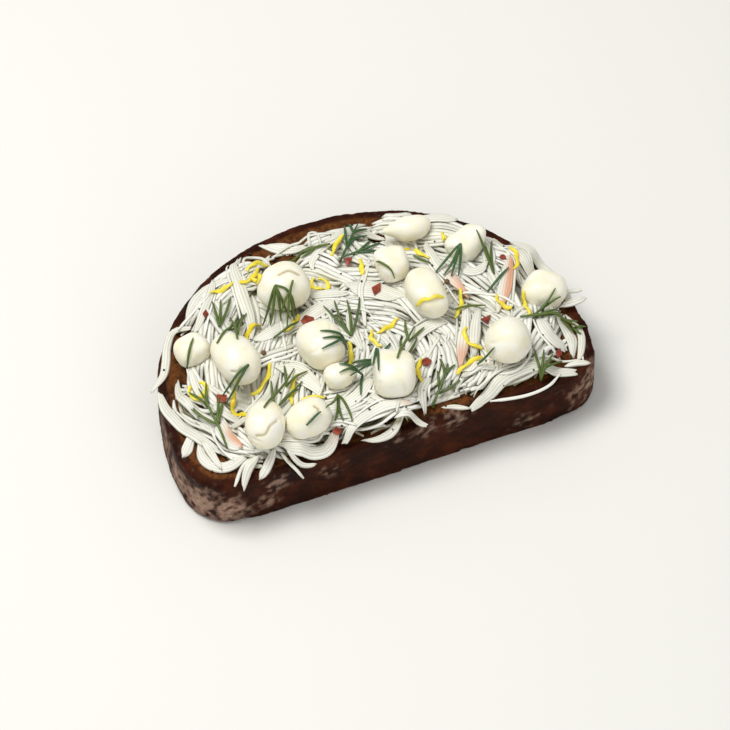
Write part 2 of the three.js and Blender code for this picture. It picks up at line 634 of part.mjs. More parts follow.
// The height of a curd's middle, once it has settled into the shreds under it.
function settle({ at: [x, y], half }) {
  const under = [];
  for (let dx = -half[0]; dx <= half[0]; dx += 1)
    for (let dy = -half[1]; dy <= half[1]; dy += 1)
      if ((dx / half[0]) ** 2 + (dy / half[1]) ** 2 < 0.5) under.push(heightAt(x + dx, y + dy));
  under.sort((a, b) => a - b);
  return under[Math.floor(under.length * SETTLED.rank)] + half[2] * SETTLED.rise;
}

// ----------------------------------------------------------------------------- the dill

const NEEDLE = {
  radius: 0.55,
  steps: 3,
  sides: 3,
  clear: 0.55, // of what it lies on
  taper: 0.15, // how much shorter a plume's side needles get from one fork to the next
};

// One needle from a point in plan along a heading.
function needle([x, y], heading, length, bend) {
  const path = planArc({ at: [0, 0], heading, length, turn: bend }, NEEDLE.steps);
  const start = new THREE.Vector2(x, y).sub(path[0]);
  path.forEach((p) => p.add(start));
  const heights = drape(path, NEEDLE.radius * 1.4, 6).map((z) => z + NEEDLE.radius + NEEDLE.clear);
  return { path, heights };
}

// A sprig's needles: fanned from its joint, or in pairs along a stem, which is then the first.
function sprigNeedles({ at, heading, length, needles, spread, plume = false }, random) {
  const bend = (most) => lerp(-most, most, random());
  if (needles === 1) return [needle(at, heading, length, bend(14))];
  if (plume) {
    const stem = needle(at, heading, length, bend(14));
    const sides = Array.from({ length: needles }, (_, i) => {
      const fork = 1 + (Math.floor(i / 2) % (NEEDLE.steps - 1));
      const joint = stem.path[fork];
      const turned = (i % 2 ? 1 : -1) * spread * lerp(0.3, 0.7, random());
      const size = length * (1 - NEEDLE.taper * (fork - 1)) * lerp(0.38, 0.55, random());
      return needle([joint.x, joint.y], heading + turned, size, bend(26));
    });
    return [stem, ...sides];
  }
  return Array.from({ length: needles }, (_, i) => {
    const fanned = heading + spread * (i / (needles - 1) - 0.5);
    return needle(at, fanned, length * lerp(0.72, 1, random()), bend(26));
  });
}

// A sprig as one solid.
function dillSprig(row, random) {
  const { radius, sides } = NEEDLE;
  const swell = (t) => (t > 0.99 ? 0.25 : 0.7 + 0.3 * Math.sin(Math.PI * Math.min(1, t * 1.4)));
  const needles = sprigNeedles(row, random);
  const [first] = needles;
  const joints = needles.map(({ path }) => {
    return first.path.findIndex((p) => p.distanceTo(path[0]) < 1e-6);
  });
  // Where needles meet they share the height of the highest, so that the sprig is one piece.
  needles.forEach(({ heights }, i) => {
    first.heights[joints[i]] = Math.max(first.heights[joints[i]], heights[0]);
  });
  const parts = needles.map(({ path, heights }, i) => {
    heights[0] = first.heights[joints[i]];
    return solid(strip(path, heights, { width: 2 * radius, thick: 2 * radius, sides, swell }));
  });
  return tidied(Manifold.union(parts));
}

// ------------------------------------------------------------------------------ assembly

const finishes = {
  rye: new THREE.MeshStandardMaterial({ color: "#3d1f17", roughness: 0.8, metalness: 0 }),
  crab: new THREE.MeshStandardMaterial({ color: "#ecebe0", roughness: 0.5, metalness: 0 }),
  curd: new THREE.MeshStandardMaterial({ color: "#fcfae9", roughness: 0.4, metalness: 0 }),
  dill: new THREE.MeshStandardMaterial({ color: "#2f5a24", roughness: 0.6, metalness: 0 }),
};

const sandwich = new THREE.Group();

function place(name, geometry, finish) {
  const mesh = new THREE.Mesh(geometry, finish);
  mesh.name = name;
  mesh.geometry.computeVertexNormals();
  sandwich.add(mesh);
}

const number = (i) => String(i + 1).padStart(2, "0");

place("rye_slice", ryeSlice(), finishes.rye);

// The heap is built up in order, as each shred rests on the ones before it.
const core = heapCore();
lay(core);
const laid = [core];
for (const row of fillShreds()) laid.push(shred(row));
SHREDS.forEach((row, i) => laid.push(shred(row, SPRUNG.includes(i))));
for (const curl of ZEST) laid.push(zestCurl(curl));
for (const flake of FLAKES) laid.push(chip(flake));
const settled = CURDS.map(settle);
const seats = CURDS.map((row, i) => solid(curd(row, i, settled[i], SEAT)));
const curds = CURDS.map((row, i) => curd(row, i, settled[i]));
const heap = tidied(Manifold.union(laid.map(solid)).subtract(Manifold.union(seats)));
place("crab_heap", geometryOf(heap), finishes.crab);

curds.forEach((geometry, i) => {
  lay(geometry);
  if (i === CURD_ZEST.curd) {
    const fused = solid(geometry).add(solid(zestCurl(CURD_ZEST)));
    place(`curd_${number(i)}`, geometryOf(tidied(fused)), finishes.curd);
  } else place(`curd_${number(i)}`, geometry, finishes.curd);
});
sandwich.children.forEach((mesh) => lay(mesh.geometry));

const sprigDraws = stream(5);
DILL.forEach((row, i) => {
  const sprig = geometryOf(dillSprig(row, sprigDraws));
  place(`dill_${number(i)}`, sprig, finishes.dill);
  lay(sprig);
});

export default sandwich;
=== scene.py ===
# %% [markdown]
# # Crab on rye: an open sandwich in Blender
#
# The solids of this sandwich were modelled for handling and weight: a slice of rye, a heap
# of crab in one lump, soft curds and sprigs of dill, all faceted. This lesson gives each of
# them its real surface. It loads the solids as a fixed frame, then builds the bread's crust
# and crumb, the heap strand by strand, the curds, the lemon zest, the chilli and the dill,
# and lights the plate-white table that they stand on.
#
# Lengths in the tables are millimetres, as in a kitchen. Blender works in metres, so one
# factor, `MM`, turns every finished mesh into metres.

# %% Load the frame
import math

import bmesh
import bpy
import numpy as np
from mathutils import Matrix, Vector, noise


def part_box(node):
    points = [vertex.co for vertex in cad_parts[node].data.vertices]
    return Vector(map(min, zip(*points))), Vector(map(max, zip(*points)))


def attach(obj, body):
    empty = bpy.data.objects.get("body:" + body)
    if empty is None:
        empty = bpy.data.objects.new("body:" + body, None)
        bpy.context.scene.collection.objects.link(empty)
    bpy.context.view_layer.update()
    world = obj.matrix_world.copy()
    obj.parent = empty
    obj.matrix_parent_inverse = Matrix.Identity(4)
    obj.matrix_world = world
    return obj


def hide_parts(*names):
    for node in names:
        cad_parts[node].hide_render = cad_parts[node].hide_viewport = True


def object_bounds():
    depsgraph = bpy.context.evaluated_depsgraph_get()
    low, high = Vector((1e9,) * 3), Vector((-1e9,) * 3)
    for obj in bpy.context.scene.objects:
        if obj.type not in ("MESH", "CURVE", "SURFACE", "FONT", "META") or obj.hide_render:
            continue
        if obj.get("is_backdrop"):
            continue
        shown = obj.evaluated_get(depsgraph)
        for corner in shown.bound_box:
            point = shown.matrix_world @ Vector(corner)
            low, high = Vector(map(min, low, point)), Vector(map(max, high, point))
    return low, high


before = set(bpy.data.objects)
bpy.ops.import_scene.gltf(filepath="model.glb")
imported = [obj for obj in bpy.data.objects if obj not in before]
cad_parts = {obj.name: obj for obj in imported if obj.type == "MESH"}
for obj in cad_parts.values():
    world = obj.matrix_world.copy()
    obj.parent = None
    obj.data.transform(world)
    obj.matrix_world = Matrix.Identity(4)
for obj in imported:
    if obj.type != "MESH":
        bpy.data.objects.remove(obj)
solid_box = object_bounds()
MM = 0.001

print(f"{len(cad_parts)} solids, over {np.subtract(*solid_box[::-1]) / MM} mm")

# %% [markdown]
# ## Where the toppings lie
#
# A heap is built in the order in which a cook drops things on it: packed crab first, then
# the shreds, then curds, zest, chilli and dill. The tables say where each of them lies, in
# plan. How high it lies is worked out later, from what is already underneath.

# %% Sizes of the slice, and the curds
# The slice: thickness; outline's half length, front and back; crust, its edge, and the
# crumb's fall inside it.
THICK = 23.0
HALF_LENGTH, FRONT, BACK = 76.5, -48.0, 49.0
CRUST, EDGE, SUNK = 3.4, 1.8, 0.9
HUB = np.array([4.0, -5.0])

# Curds: middle in plan, half sizes, turn in degrees, how boxy, and how drawn to a tip.
CURDS = [
    ((-58.4, 6.0), (6.2, 5.5, 5.4), 10, 2.6, 0),
    ((-46.1, -5.4), (7.4, 10.2, 7.0), 14, 2.3, 0),
    ((-20.3, 16.9), (8.8, 8.5, 7.7), 20, 2.2, 0),
    ((-16.6, -10.4), (7.8, 9.0, 7.4), 8, 2.5, 0),
    ((-14.8, -23.8), (5.4, 4.4, 4.6), -10, 2.2, 0),
    ((-45.8, -34.7), (6.9, 8.8, 7.6), -16, 2.1, 0),
    ((-30.6, -36.8), (8.3, 6.6, 6.6), 12, 2.2, 0),
    ((2.9, -30.6), (7.2, 7.8, 7.0), -12, 3.0, 0),
    ((18.5, 13.7), (5.6, 5.6, 5.4), 4, 3.0, 0),
    ((25.6, -2.2), (6.4, 9.8, 6.2), 6, 2.5, 0),
    ((31.1, 28.4), (7.1, 4.7, 4.6), -8, 2.1, 0.55),
    ((46.4, 14.6), (6.5, 5.3, 5.2), 24, 3.1, 0),
    ((66.2, -11.3), (7.2, 6.3, 5.8), -28, 2.7, 0),
    ((45.0, -31.0), (8.0, 8.3, 8.2), 0, 2.05, 0),
]
print(f"{len(CURDS)} curds on a slice {2 * HALF_LENGTH:.0f} by {BACK - FRONT:.0f} mm")

# %% Table of the shreds
# Shreds, lowest first: width, then the points that each one passes.
SHREDS = [
    # left end
    (4.2, (-33, 30), (-42, 31), (-50, 27), (-56, 20)),
    (3.2, (-66, 1), (-68, -9), (-65, -21)),
    (3.0, (-61, 1), (-62, -9), (-61, -19)),
    (5.0, (-67, -24), (-68, -34), (-63, -40), (-54, -40)),
    (4.2, (-68, -23), (-72, -28), (-75.2, -31.3)),
    (4.2, (-73, -1), (-73.8, -10), (-71, -20), (-66, -29), (-61, -36)),
    (2.8, (-67, -28), (-65, -36), (-64, -42.5)),
    (3.2, (-40.5, 34), (-45, 26), (-55, 13)),
    (3.2, (-54, 16), (-60, 20), (-64.5, 15), (-67.5, 8), (-70.5, 3), (-77, -1.8)),
    (6.0, (-59.5, -20.5), (-59, -30), (-55, -37.5)),
    (3.6, (-60, -17), (-55, -24), (-50, -26), (-43, -24)),
    (3.2, (-57, -29), (-48, -25), (-40, -20), (-31, -10)),
    # back
    (5.0, (-20, 45.5), (-14, 41), (-4, 35)),
    (4.0, (-17, 39), (-24, 34), (-33, 29)),
    (3.2, (-8, 22), (-6, 28), (1, 33), (8, 36)),
    (3.2, (0, 33), (9, 36.5), (17, 35), (23, 31)),
    (6.0, (-38, 2), (-24, 4), (-10, 7), (-1, 9)),
    (4.0, (-13, 13), (-6, 12), (2, 10)),
    (8.0, (-1, 13), (8, 9), (14, 4), (20, -1)),
    (4.6, (-28, 43), (-33, 35), (-34, 24), (-35, 11), (-39, 0)),
    (2.2, (14, 23), (10, 17), (5, 9), (3, 0), (1, -7)),
    # right end
    (5.0, (33, 34), (41, 31.5), (49, 27.5)),
    (4.0, (40, 6), (46, 3.5), (53, 6)),
    (4.2, (34, 24), (34, 12), (38, 2), (41, -6)),
    (6.0, (54, 19), (60, 14), (64, 5), (65, -4)),
    (4.0, (62, 14), (67.5, 7), (72, -2), (74.2, -10), (73.6, -18)),
    (5.0, (60, 7), (54, -5), (47, -17)),
    (1.6, (70, -10), (80, -12.4)),
    (3.2, (68, -17), (75, -17.6), (80, -16.8)),
    (5.0, (60, -21), (61, -29), (66, -36)),
    (4.0, (66, -22), (69, -30), (66, -39)),
    (3.0, (71, -20), (73, -29), (70, -37), (66, -41)),
    (2.6, (62, -40), (68, -41), (72.5, -42)),
    # front, right half
    (4.6, (26.3, -35), (31, -24), (36, -14), (39, -5)),
    (4.0, (33, -30), (37, -20), (42, -10)),
    (5.0, (9, -22), (15, -16.5), (23, -12.5), (30, -14)),
    (4.0, (25, -36), (33, -34), (40, -37)),
    (4.0, (26, -35), (30, -33.5), (34, -31)),
    (3.0, (34, -41.4), (46, -41), (58, -41.6)),
    (5.0, (24, -47), (33, -43), (43, -39.5), (54, -40.5), (67, -44.5)),
    (3.6, (17, -31), (11, -37), (9, -45)),
    (2.2, (15, -42), (20, -43), (26, -46)),
    (1.3, (33, -45.5), (45, -47.3), (54, -46.5), (60, -43.5)),
    # front, left half
    (3.6, (-2, 4), (-3, -6), (-3, -17)),
    (7.0, (-36, -10), (-28, -14), (-23, -22), (-21, -29)),
    (5.0, (-29, -28), (-20, -33), (-11, -32), (-3, -26)),
    (4.0, (-7, -33), (0, -38), (5, -41)),
    (5.0, (-45, -41), (-37, -44.5), (-28, -46), (-20, -41)),
    (3.2, (-16, -45.5), (-8, -47), (0, -44.5), (5, -41)),
    (4.0, (-23, -47.5), (-15, -42.5), (-5, -39.5), (7, -41.5)),
    (3.0, (-3, -44), (4, -44.5), (9.5, -47.5)),
    (1.5, (-50, -41), (-57, -43), (-62, -48.5)),
    (3.2, (-49, -41), (-56, -45), (-60, -50.5)),
    (3.6, (-44, -40), (-50, -46), (-53.5, -49)),
    (1.7, (-43, -43), (-40, -48.5), (-38, -52)),
    (2.1, (-42, -43), (-38, -48), (-32, -49.5)),
    # thin strings that stand off the crumb in loops
    (1.2, (-30, 33), (-27, 39.5), (-22, 38.5), (-19, 33)),
    (1.2, (-5, 33), (-3, 40.5), (-0.5, 39.5), (-1, 33)),
]

# Those that stand straight out past the crust, by place in the list, counted from 0.
SPRUNG = {27, 28}
print(f"{len(SHREDS)} named shreds")

# %% Tables of zest, chilli and pepper
# Curls of zest: middle, heading in degrees, length, and how far each turns, in degrees.
# The last one lies on a curd.
ZEST = [
    ((-40, 27), 5, 9, 70),
    ((-29, 28), 28, 10, 60),
    ((-25, 33), 15, 10, -60),
    ((-28, 23.5), 90, 9, 150),
    ((-36.5, 6.5), 45, 11, -60),
    ((-7, 18), 0, 18, 340),
    ((-22, 4), 35, 10, 50),
    ((4, 31), 45, 10, -50),
    ((9, 19), 75, 7, 10),
    ((25.5, 22.5), 5, 8, -60),
    ((30, 17.5), -62, 9, 60),
    ((40.5, 20.5), 80, 6, -10),
    ((61, 4), 78, 11, 80),
    ((50, -13), -62, 9, 75),
    ((57.5, -16), 85, 9, -35),
    ((36, -7), 60, 12, 60),
    ((9, -8.5), 20, 10, 45),
    ((2.5, -12), 95, 9, -110),
    ((34, -23), -75, 12, 120),
    ((30, -32.5), 18, 11, -25),
    ((13, -29), 70, 10, -90),
    ((-7.5, -15), 70, 12, 30),
    ((-26.5, -27.5), 0, 10, -60),
    ((-31, -21.5), 62, 12, -20),
    ((-39, -14), 42, 14, 60),
    ((-51, -20.5), 90, 15, -150),
    ((-62, -11), 0, 16, 300),
    ((24.4, -8.4), -8, 9.6, 25),
]

# Chilli flakes: middle, heading in degrees, size, corners, and how narrow.
FLAKES = [
    ((-49, 18.5), 70, 4.0, 4, 0.55),
    ((-16.4, 3.6), 20, 5.4, 5, 1.0),
    ((5.4, 23.3), -105, 4.8, 3, 0.75),
    ((10.5, 7), 50, 5.6, 4, 0.6),
    ((57, 5.7), 0, 2.4, 7, 0.95),
    ((42, -17.5), 34, 5.2, 3, 0.75),
    ((16.2, -27), 60, 4.4, 5, 0.75),
    ((62, -36.8), 60, 4.4, 4, 0.55),
    ((-55.4, -16.8), 112, 5.0, 4, 0.85),
    ((-22.5, -43.2), -10, 4.0, 4, 0.9),
]
# Whole grains of brown pepper: middle and size.
CORNS = [((35, 2.8), 2.1), ((-35.4, -3.8), 2.3)]
print(f"{len(ZEST)} curls, {len(FLAKES)} flakes, {len(CORNS)} whole grains")

# %% Table of the dill
# Dill: joint, heading, length, needles, the angle they fan over, and whether it is a plume.
DILL = [
    ((-46.5, 11.5), 68, 15, 3, 30, False),
    ((-51.5, -1), 46, 20, 3, 22, True),
    ((-44.5, -2.4), 72, 18, 2, 16, False),
    ((-25, 13.5), -95, 10, 5, 100, False),
    ((-18.5, 13), -120, 12, 2, 60, True),
    ((-30.4, 0.2), 17, 11, 1, 0, False),
    ((-4.5, -7.5), 84, 17, 4, 50, False),
    ((2, 32), 178, 15, 3, 34, True),
    ((3.2, 24.8), 50, 18, 4, 60, True),
    ((3.8, 25.4), 5, 17, 2, 60, True),
    ((12.8, 14), -58, 8, 1, 0, False),
    ((27.5, 16.5), -48, 7, 1, 0, False),
    ((43.5, 12), -136, 13, 4, 42, False),
    ((51.5, 0), 83, 16, 3, 22, False),
    ((46.9, -6.2), 32, 12, 1, 0, False),
    ((33.5, -9), -9, 11, 1, 0, False),
    ((58.9, -21), 8, 12, 4, 44, False),
    ((53.5, -20.6), -11, 14, 1, 0, False),
    ((63.3, -23), -28, 12, 4, 60, True),
    ((32.5, -34), -10, 6, 1, 0, False),
    ((52.5, -44), 54, 12, 4, 58, False),
    ((13.2, -41.8), 50, 15.5, 5, 80, True),
    ((-17, -28.5), -108, 16, 4, 40, False),
    ((-33.5, -42.5), 24, 7, 1, 0, False),
    ((-45.5, -33), 47, 26, 5, 46, True),
    ((-60, -35.5), 94, 25, 6, 54, True),
    ((-44, -13), -158, 14, 2, 16, False),
    ((-8.2, -13.9), 176, 12, 3, 40, False),
    ((7, -15.9), -149, 22, 7, 64, True),
    ((4.5, -29.7), 54, 22, 4, 40, True),
    ((-62.4, -0.4), 56, 8.8, 1, 0, False),
]
print(f"{len(DILL)} sprigs of dill")

# %% [markdown]
# ## Table, light and camera
#
# Food is lit from behind and to one side: the light skims over it and every strand gets a
# bright edge and a shaded one. A large soft lamp stands at the back left, a weaker one at
# the front keeps the dark crust readable, and the pale world fills the rest.

# %% Camera
AIM = Vector((3.0, -1.2, 0.0)) * MM
TURN, ELEVATION = math.radians(20.0), math.radians(55.6)
# How far off the camera stands and how broad a view it frames, in metres.
DISTANCE, FIELD = 2.4, 0.2574
SENSOR = 36.0

back = Vector(
    (
        -math.sin(TURN) * math.cos(ELEVATION),
        -math.cos(TURN) * math.cos(ELEVATION),
        math.sin(ELEVATION),
    )
)
right = Vector((math.cos(TURN), -math.sin(TURN), 0.0))
view_axes = np.column_stack([right, back.cross(right), back])
camera = bpy.data.objects.new("camera", bpy.data.cameras.new("camera"))
camera.data.sensor_width = SENSOR
camera.data.lens = SENSOR * DISTANCE / FIELD
camera.location = AIM + back * DISTANCE
camera.rotation_euler = back.to_track_quat("Z", "Y").to_euler()
bpy.context.collection.objects.link(camera)
bpy.context.scene.camera = camera
bpy.context.scene.view_settings.view_transform = "Standard"

print(f"camera {DISTANCE} m away, lens {camera.data.lens:.0f} mm")


# %% Colours and nodes
def colour(code):
    """An sRGB hex code as linear light, with alpha 1."""
    channels = [int(code[i : i + 2], 16) / 255 for i in (1, 3, 5)]
    return [c / 12.92 if c <= 0.04045 else ((c + 0.055) / 1.055) ** 2.4 for c in channels] + [1.0]


def feed(tree, node, inputs):
    """Gives each of a node's sockets a value, or links another node's output to it."""
    for name, value in inputs.items():
        if isinstance(value, bpy.types.NodeSocket):
            tree.links.new(value, node.inputs[name])
        else:
            node.inputs[name].default_value = value


def add(tree, kind, inputs=None, steps=(), **settings):
    """Adds one node: its settings, its sockets, and a ramp's steps as place and hex code."""
    node = tree.nodes.new(kind)
    for name, value in settings.items():
        setattr(node, name, value)
    feed(tree, node, inputs or {})
    for _ in steps[2:]:
        node.color_ramp.elements.new(0.5)
    for i, (place, code) in enumerate(steps):
        element = node.color_ramp.elements[i]
        element.position, element.color = place, colour(code)
    return node


def new_material(name):
    """A material, its node tree, and the shader in it that makes the surface."""
    material = bpy.data.materials.new(name)
    material.use_nodes = True
    tree = material.node_tree
    tree.nodes.clear()
    shader = add(tree, "ShaderNodeBsdfPrincipled")
    add(tree, "ShaderNodeOutputMaterial", {"Surface": shader.outputs["BSDF"]})
    return material, tree, shader


# A Mix node goes by numbers for its sockets, since it has a set of them for each kind of
# data. These are the ones for colours: how much of the second, the two colours, the result.
SHARE, FIRST, SECOND, MIXED = 0, 6, 7, 2

TABLE_WHITE = colour("#f0efea")
print("the table's white in linear light:", np.round(TABLE_WHITE[:3], 3))


# %% Table
def mesh_from(bm, name):
    """A bmesh turned into a mesh, and freed."""
    mesh = bpy.data.meshes.new(name)
    bm.to_mesh(mesh)
    bm.free()
    return mesh


def new_object(name, mesh, material=None):
    """A mesh as an object at the origin, with one material."""
    piece = bpy.data.objects.new(name, mesh)
    bpy.context.collection.objects.link(piece)
    if material:
        mesh.materials.append(material)
    return piece


# A pale glazed surface that is dull enough to mirror nothing.
table_material, tree, shader = new_material("glazed_white_table")
feed(tree, shader, {"Base Color": TABLE_WHITE, "Roughness": 0.6})

bm = bmesh.new()
bmesh.ops.create_grid(bm, x_segments=1, y_segments=1, size=3.0)
table = new_object("table", mesh_from(bm, "table"), table_material)
table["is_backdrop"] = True
print("table", table.dimensions.x, "m wide")


# %% Lamps
def lamp(name, place, size, watts, tint):
    """A square soft lamp that looks at the sandwich."""
    light = bpy.data.objects.new(name, bpy.data.lights.new(name, "AREA"))
    light.data.size = size
    light.data.energy = watts
    light.data.color = colour(tint)[:3]
    light.location = place
    light.rotation_euler = (Vector(place) - AIM).to_track_quat("Z", "Y").to_euler()
    bpy.context.collection.objects.link(light)


lamp("back_left_lamp", (-0.30, 0.20, 1.0), 0.46, 7.9, "#fffefc")
lamp("front_lamp", (0.10, -0.95, 0.55), 0.7, 2.0, "#fbfbff")

world = bpy.data.worlds.new("pale_room")
world.use_nodes = True
world.node_tree.nodes["Background"].inputs["Color"].default_value = colour("#fbfbf8")
world.node_tree.nodes["Background"].inputs["Strength"].default_value = 0.42
bpy.context.scene.world = world

print("two lamps and a pale world")

# %% [markdown]
# ## The slice's outline
#
# A tin loaf is flat where it lay in the tin and domed where it rose. Its outline is a
# straight stretch, two tight corners and a broad arch, which four kinds of curve could
# draw; cubic Béziers do all of it. Most later steps ask how far a point lies outside it.


# %% The outline
def bezier(a, b, c, d, steps):
    """Points from a towards d on a cubic Bézier curve, without d."""
    t = np.arange(steps)[:, None] / steps
    a, b, c, d = map(np.asarray, (a, b, c, d))
    return a * (1 - t) ** 3 + 3 * b * t * (1 - t) ** 2 + 3 * c * t * t * (1 - t) + d * t**3


# The curves, round from the front right: how many points, two handles and where it ends.
START = (57, FRONT + 1.8)
CURVES = [
    (10, (68, FRONT + 1.9), (HALF_LENGTH - 0.6, -43), (HALF_LENGTH - 0.4, -32)),
    (10, (HALF_LENGTH, -18), (74.5, -2), (70.5, 6)),
    (20, (60, 29), (36, BACK), (0, BACK)),
    (20, (-32, BACK), (-54, 34), (-67, 14.5)),
    (10, (-74.5, 3), (-HALF_LENGTH, -14), (-HALF_LENGTH, -26)),
    (10, (-HALF_LENGTH, -40), (-71, FRONT - 0.2), (-59, FRONT - 0.4)),
    (20, (-20, FRONT - 1), (20, FRONT + 1.6), START),
]
ends = [START, *[curve[-1] for curve in CURVES]]
outline = np.concatenate([bezier(a, b, c, d, n) for a, (n, b, c, d) in zip(ends, CURVES)])


def outside_by(x, y):
    """How far points lie outside the outline, in mm, which is negative inside it."""
    x, y = np.asarray(x, float), np.asarray(y, float)
    nearest = np.full(x.shape, np.inf)
    crossings = np.zeros(x.shape, int)
    for (ax, ay), (bx, by) in zip(outline, np.roll(outline, -1, axis=0)):
        dx, dy = bx - ax, by - ay
        t = np.clip(((x - ax) * dx + (y - ay) * dy) / (dx * dx + dy * dy), 0, 1)
        nearest = np.minimum(nearest, np.hypot(x - ax - t * dx, y - ay - t * dy))
        if dy:
            crossings += ((ay > y) != (by > y)) & (x < ax + (y - ay) / dy * dx)
    return np.where(crossings % 2, -nearest, nearest)


around = np.hypot(*(outline - np.roll(outline, 1, axis=0)).T).sum()
print(f"outline {np.ptp(outline[:, 0]):.0f} by {np.ptp(outline[:, 1]):.0f} mm, {around:.0f} round")

# %% [markdown]
# ## Rye bread
#
# Dark rye is close-textured: a moist, dense crumb full of small uneven holes, held in a
# hard crust that is almost black where it met the tin and dusty with flour where it didn't.
# The holes and the crust's pitting are too deep to fake with shading alone, so the solid's
# skin is remeshed evenly and its points are pushed in and out.


# %% The slice's skin
def finished(piece):
    """The mesh that an object has once its modifiers are applied."""
    evaluated = piece.evaluated_get(bpy.context.evaluated_depsgraph_get())
    mesh = bpy.data.meshes.new_from_object(evaluated)
    piece.modifiers.clear()
    piece.data = mesh
    return mesh


def points_of(mesh):
    """A mesh's points as rows of x, y, z, in mm."""
    flat = np.empty(len(mesh.vertices) * 3, np.float32)
    mesh.vertices.foreach_get("co", flat)
    return flat.reshape(-1, 3).astype(float) / MM


def normals_of(mesh):
    """A mesh's point normals."""
    flat = np.empty(len(mesh.vertices) * 3, np.float32)
    mesh.vertices.foreach_get("normal", flat)
    return flat.reshape(-1, 3).astype(float)


def move_points(mesh, points):
    """Puts a mesh's points at rows of x, y, z, given in mm."""
    mesh.vertices.foreach_set("co", (points * MM).astype(np.float32).ravel())
    mesh.update()


def paint(mesh, name, values):
    """Stores one number for each point, for materials to read."""
    layer = mesh.attributes.new(name, "FLOAT", "POINT")
    layer.data.foreach_set("value", np.asarray(values, np.float32))


def smoothstep(low, high, x):
    """0 below low, 1 above high, and a soft step between."""
    t = np.clip((x - low) / (high - low), 0, 1)
    return t * t * (3 - 2 * t)


bm = bmesh.new()
base = bm.faces.new([bm.verts.new((x * MM, y * MM, 0)) for x, y in outline])
bmesh.ops.extrude_face_region(bm, geom=[base], use_keep_orig=True)
bm.verts.ensure_lookup_table()
for v in bm.verts[len(outline) :]:
    v.co.z = THICK * MM
rims = [e for e in bm.edges if e.verts[0].co.z == e.verts[1].co.z]
bmesh.ops.bevel(
    bm, geom=rims, offset=EDGE * MM, segments=4, profile=0.5, affect="EDGES", material=-1
)
bmesh.ops.recalc_face_normals(bm, faces=bm.faces)
top = max(bm.faces, key=lambda face: face.calc_center_median().z)
bmesh.ops.inset_region(bm, faces=[top], thickness=(CRUST - EDGE) * MM, depth=-SUNK * MM)
bread = new_object("rye_bread", mesh_from(bm, "rye_bread"))
remesh = bread.modifiers.new("even_skin", "REMESH")
remesh.mode = "VOXEL"
remesh.voxel_size = 0.7 * MM
remesh.use_smooth_shade = True
mesh = finished(bread)
print(f"bread's skin: {len(mesh.vertices)} points")


# %% Holes and pits
def fractal(points, size, octaves=3, shift=0.0):
    """Smooth noise about -1 to 1 at each point, with bumps about `size` mm across."""
    place = Vector((shift, shift, shift))
    return np.array([noise.fractal(Vector(p) / size + place, 1.0, 2.0, octaves) for p in points])


def holes(points, size):
    """0 between holes and up to 1 at the middle of one, holes about `size` mm apart."""
    found = np.zeros(len(points))
    for i, p in enumerate(points):
        distances, centres = noise.voronoi(Vector(p) / size)
        reach = 0.42 + 0.17 * noise.cell(centres[0] * 7.3)
        found[i] = max(0.0, 1 - distances[0] / reach)
    return found


# Depth of the crumb's large and small holes and of the crust's pits, and how far any point
# may stand out.
HOLE, SMALL_HOLE, PIT, PROUD = 1.3, 0.5, 0.35, 0.25

points, normals = points_of(mesh), normals_of(mesh)
inset = -outside_by(points[:, 0], points[:, 1])
flat = smoothstep(0.75, 0.95, np.abs(normals[:, 2]))
crumb = flat * smoothstep(CRUST - 0.6, CRUST + 0.7, inset + 0.7 * fractal(points, 5.0))
broad, fine = fractal(points, 11.0), fractal(points, 2.2, shift=5.0)
pits = holes(points, 3.0)
small_pits = holes(points + 50, 1.7)
push = crumb * (0.25 * broad + 0.14 * fine - HOLE * pits - SMALL_HOLE * small_pits)
push += (1 - crumb) * (0.35 * broad + 0.12 * fine - PIT * pits)
points += normals * np.minimum(push, PROUD)[:, None]
points[:, 2] = np.clip(points[:, 2], 0.0, THICK)
move_points(mesh, points)
paint(mesh, "crumb", crumb)
# The holes' mask, which the crumb's finish turns into painted shade.
paint(mesh, "hole", np.clip(pits + 0.5 * small_pits, 0, 1))

# %% Flour left on the crust
# Where flour stuck: the middle, how far it reaches, and how thick it is, from 0 to 1.
FLOUR = [
    ((-74, -43, 10), 12, 1.0),
    ((-64, -48, 8), 10, 0.95),
    ((-76, -30, 10), 12, 0.9),
    ((-76, -14, 12), 13, 0.75),
    ((-47, -49, 17), 6, 0.8),
    ((-50, -49, 8), 6, 0.75),
    ((-27, -49, 15), 6, 0.6),
    ((-1, -48, 21), 6, 0.5),
    ((9, -48, 21), 7, 0.65),
    ((20, -47, 21), 7, 0.7),
    ((47, -47, 6), 8, 0.55),
    ((72, -44, 13), 13, 0.8),
    ((74, 0, 12), 14, 0.3),
    ((-50, 30, 12), 16, 0.4),
    ((30, 42, 12), 18, 0.4),
]
dusted = np.zeros(len(points))
for middle, reach, thickness in FLOUR:
    away = np.linalg.norm(points - np.array(middle), axis=1)
    dusted = np.maximum(dusted, thickness * np.exp(-((away / reach) ** 2)))
speckle = fractal(points, 2.6, 4, 9.0)
dusted = (1 - crumb) * smoothstep(0.35, 1.0, dusted + 0.6 * speckle) * dusted
paint(mesh, "flour", dusted)

print(f"holes in {np.mean(pits > 0.3):.0%} of the skin, flour on {np.mean(dusted > 0.2):.0%}")
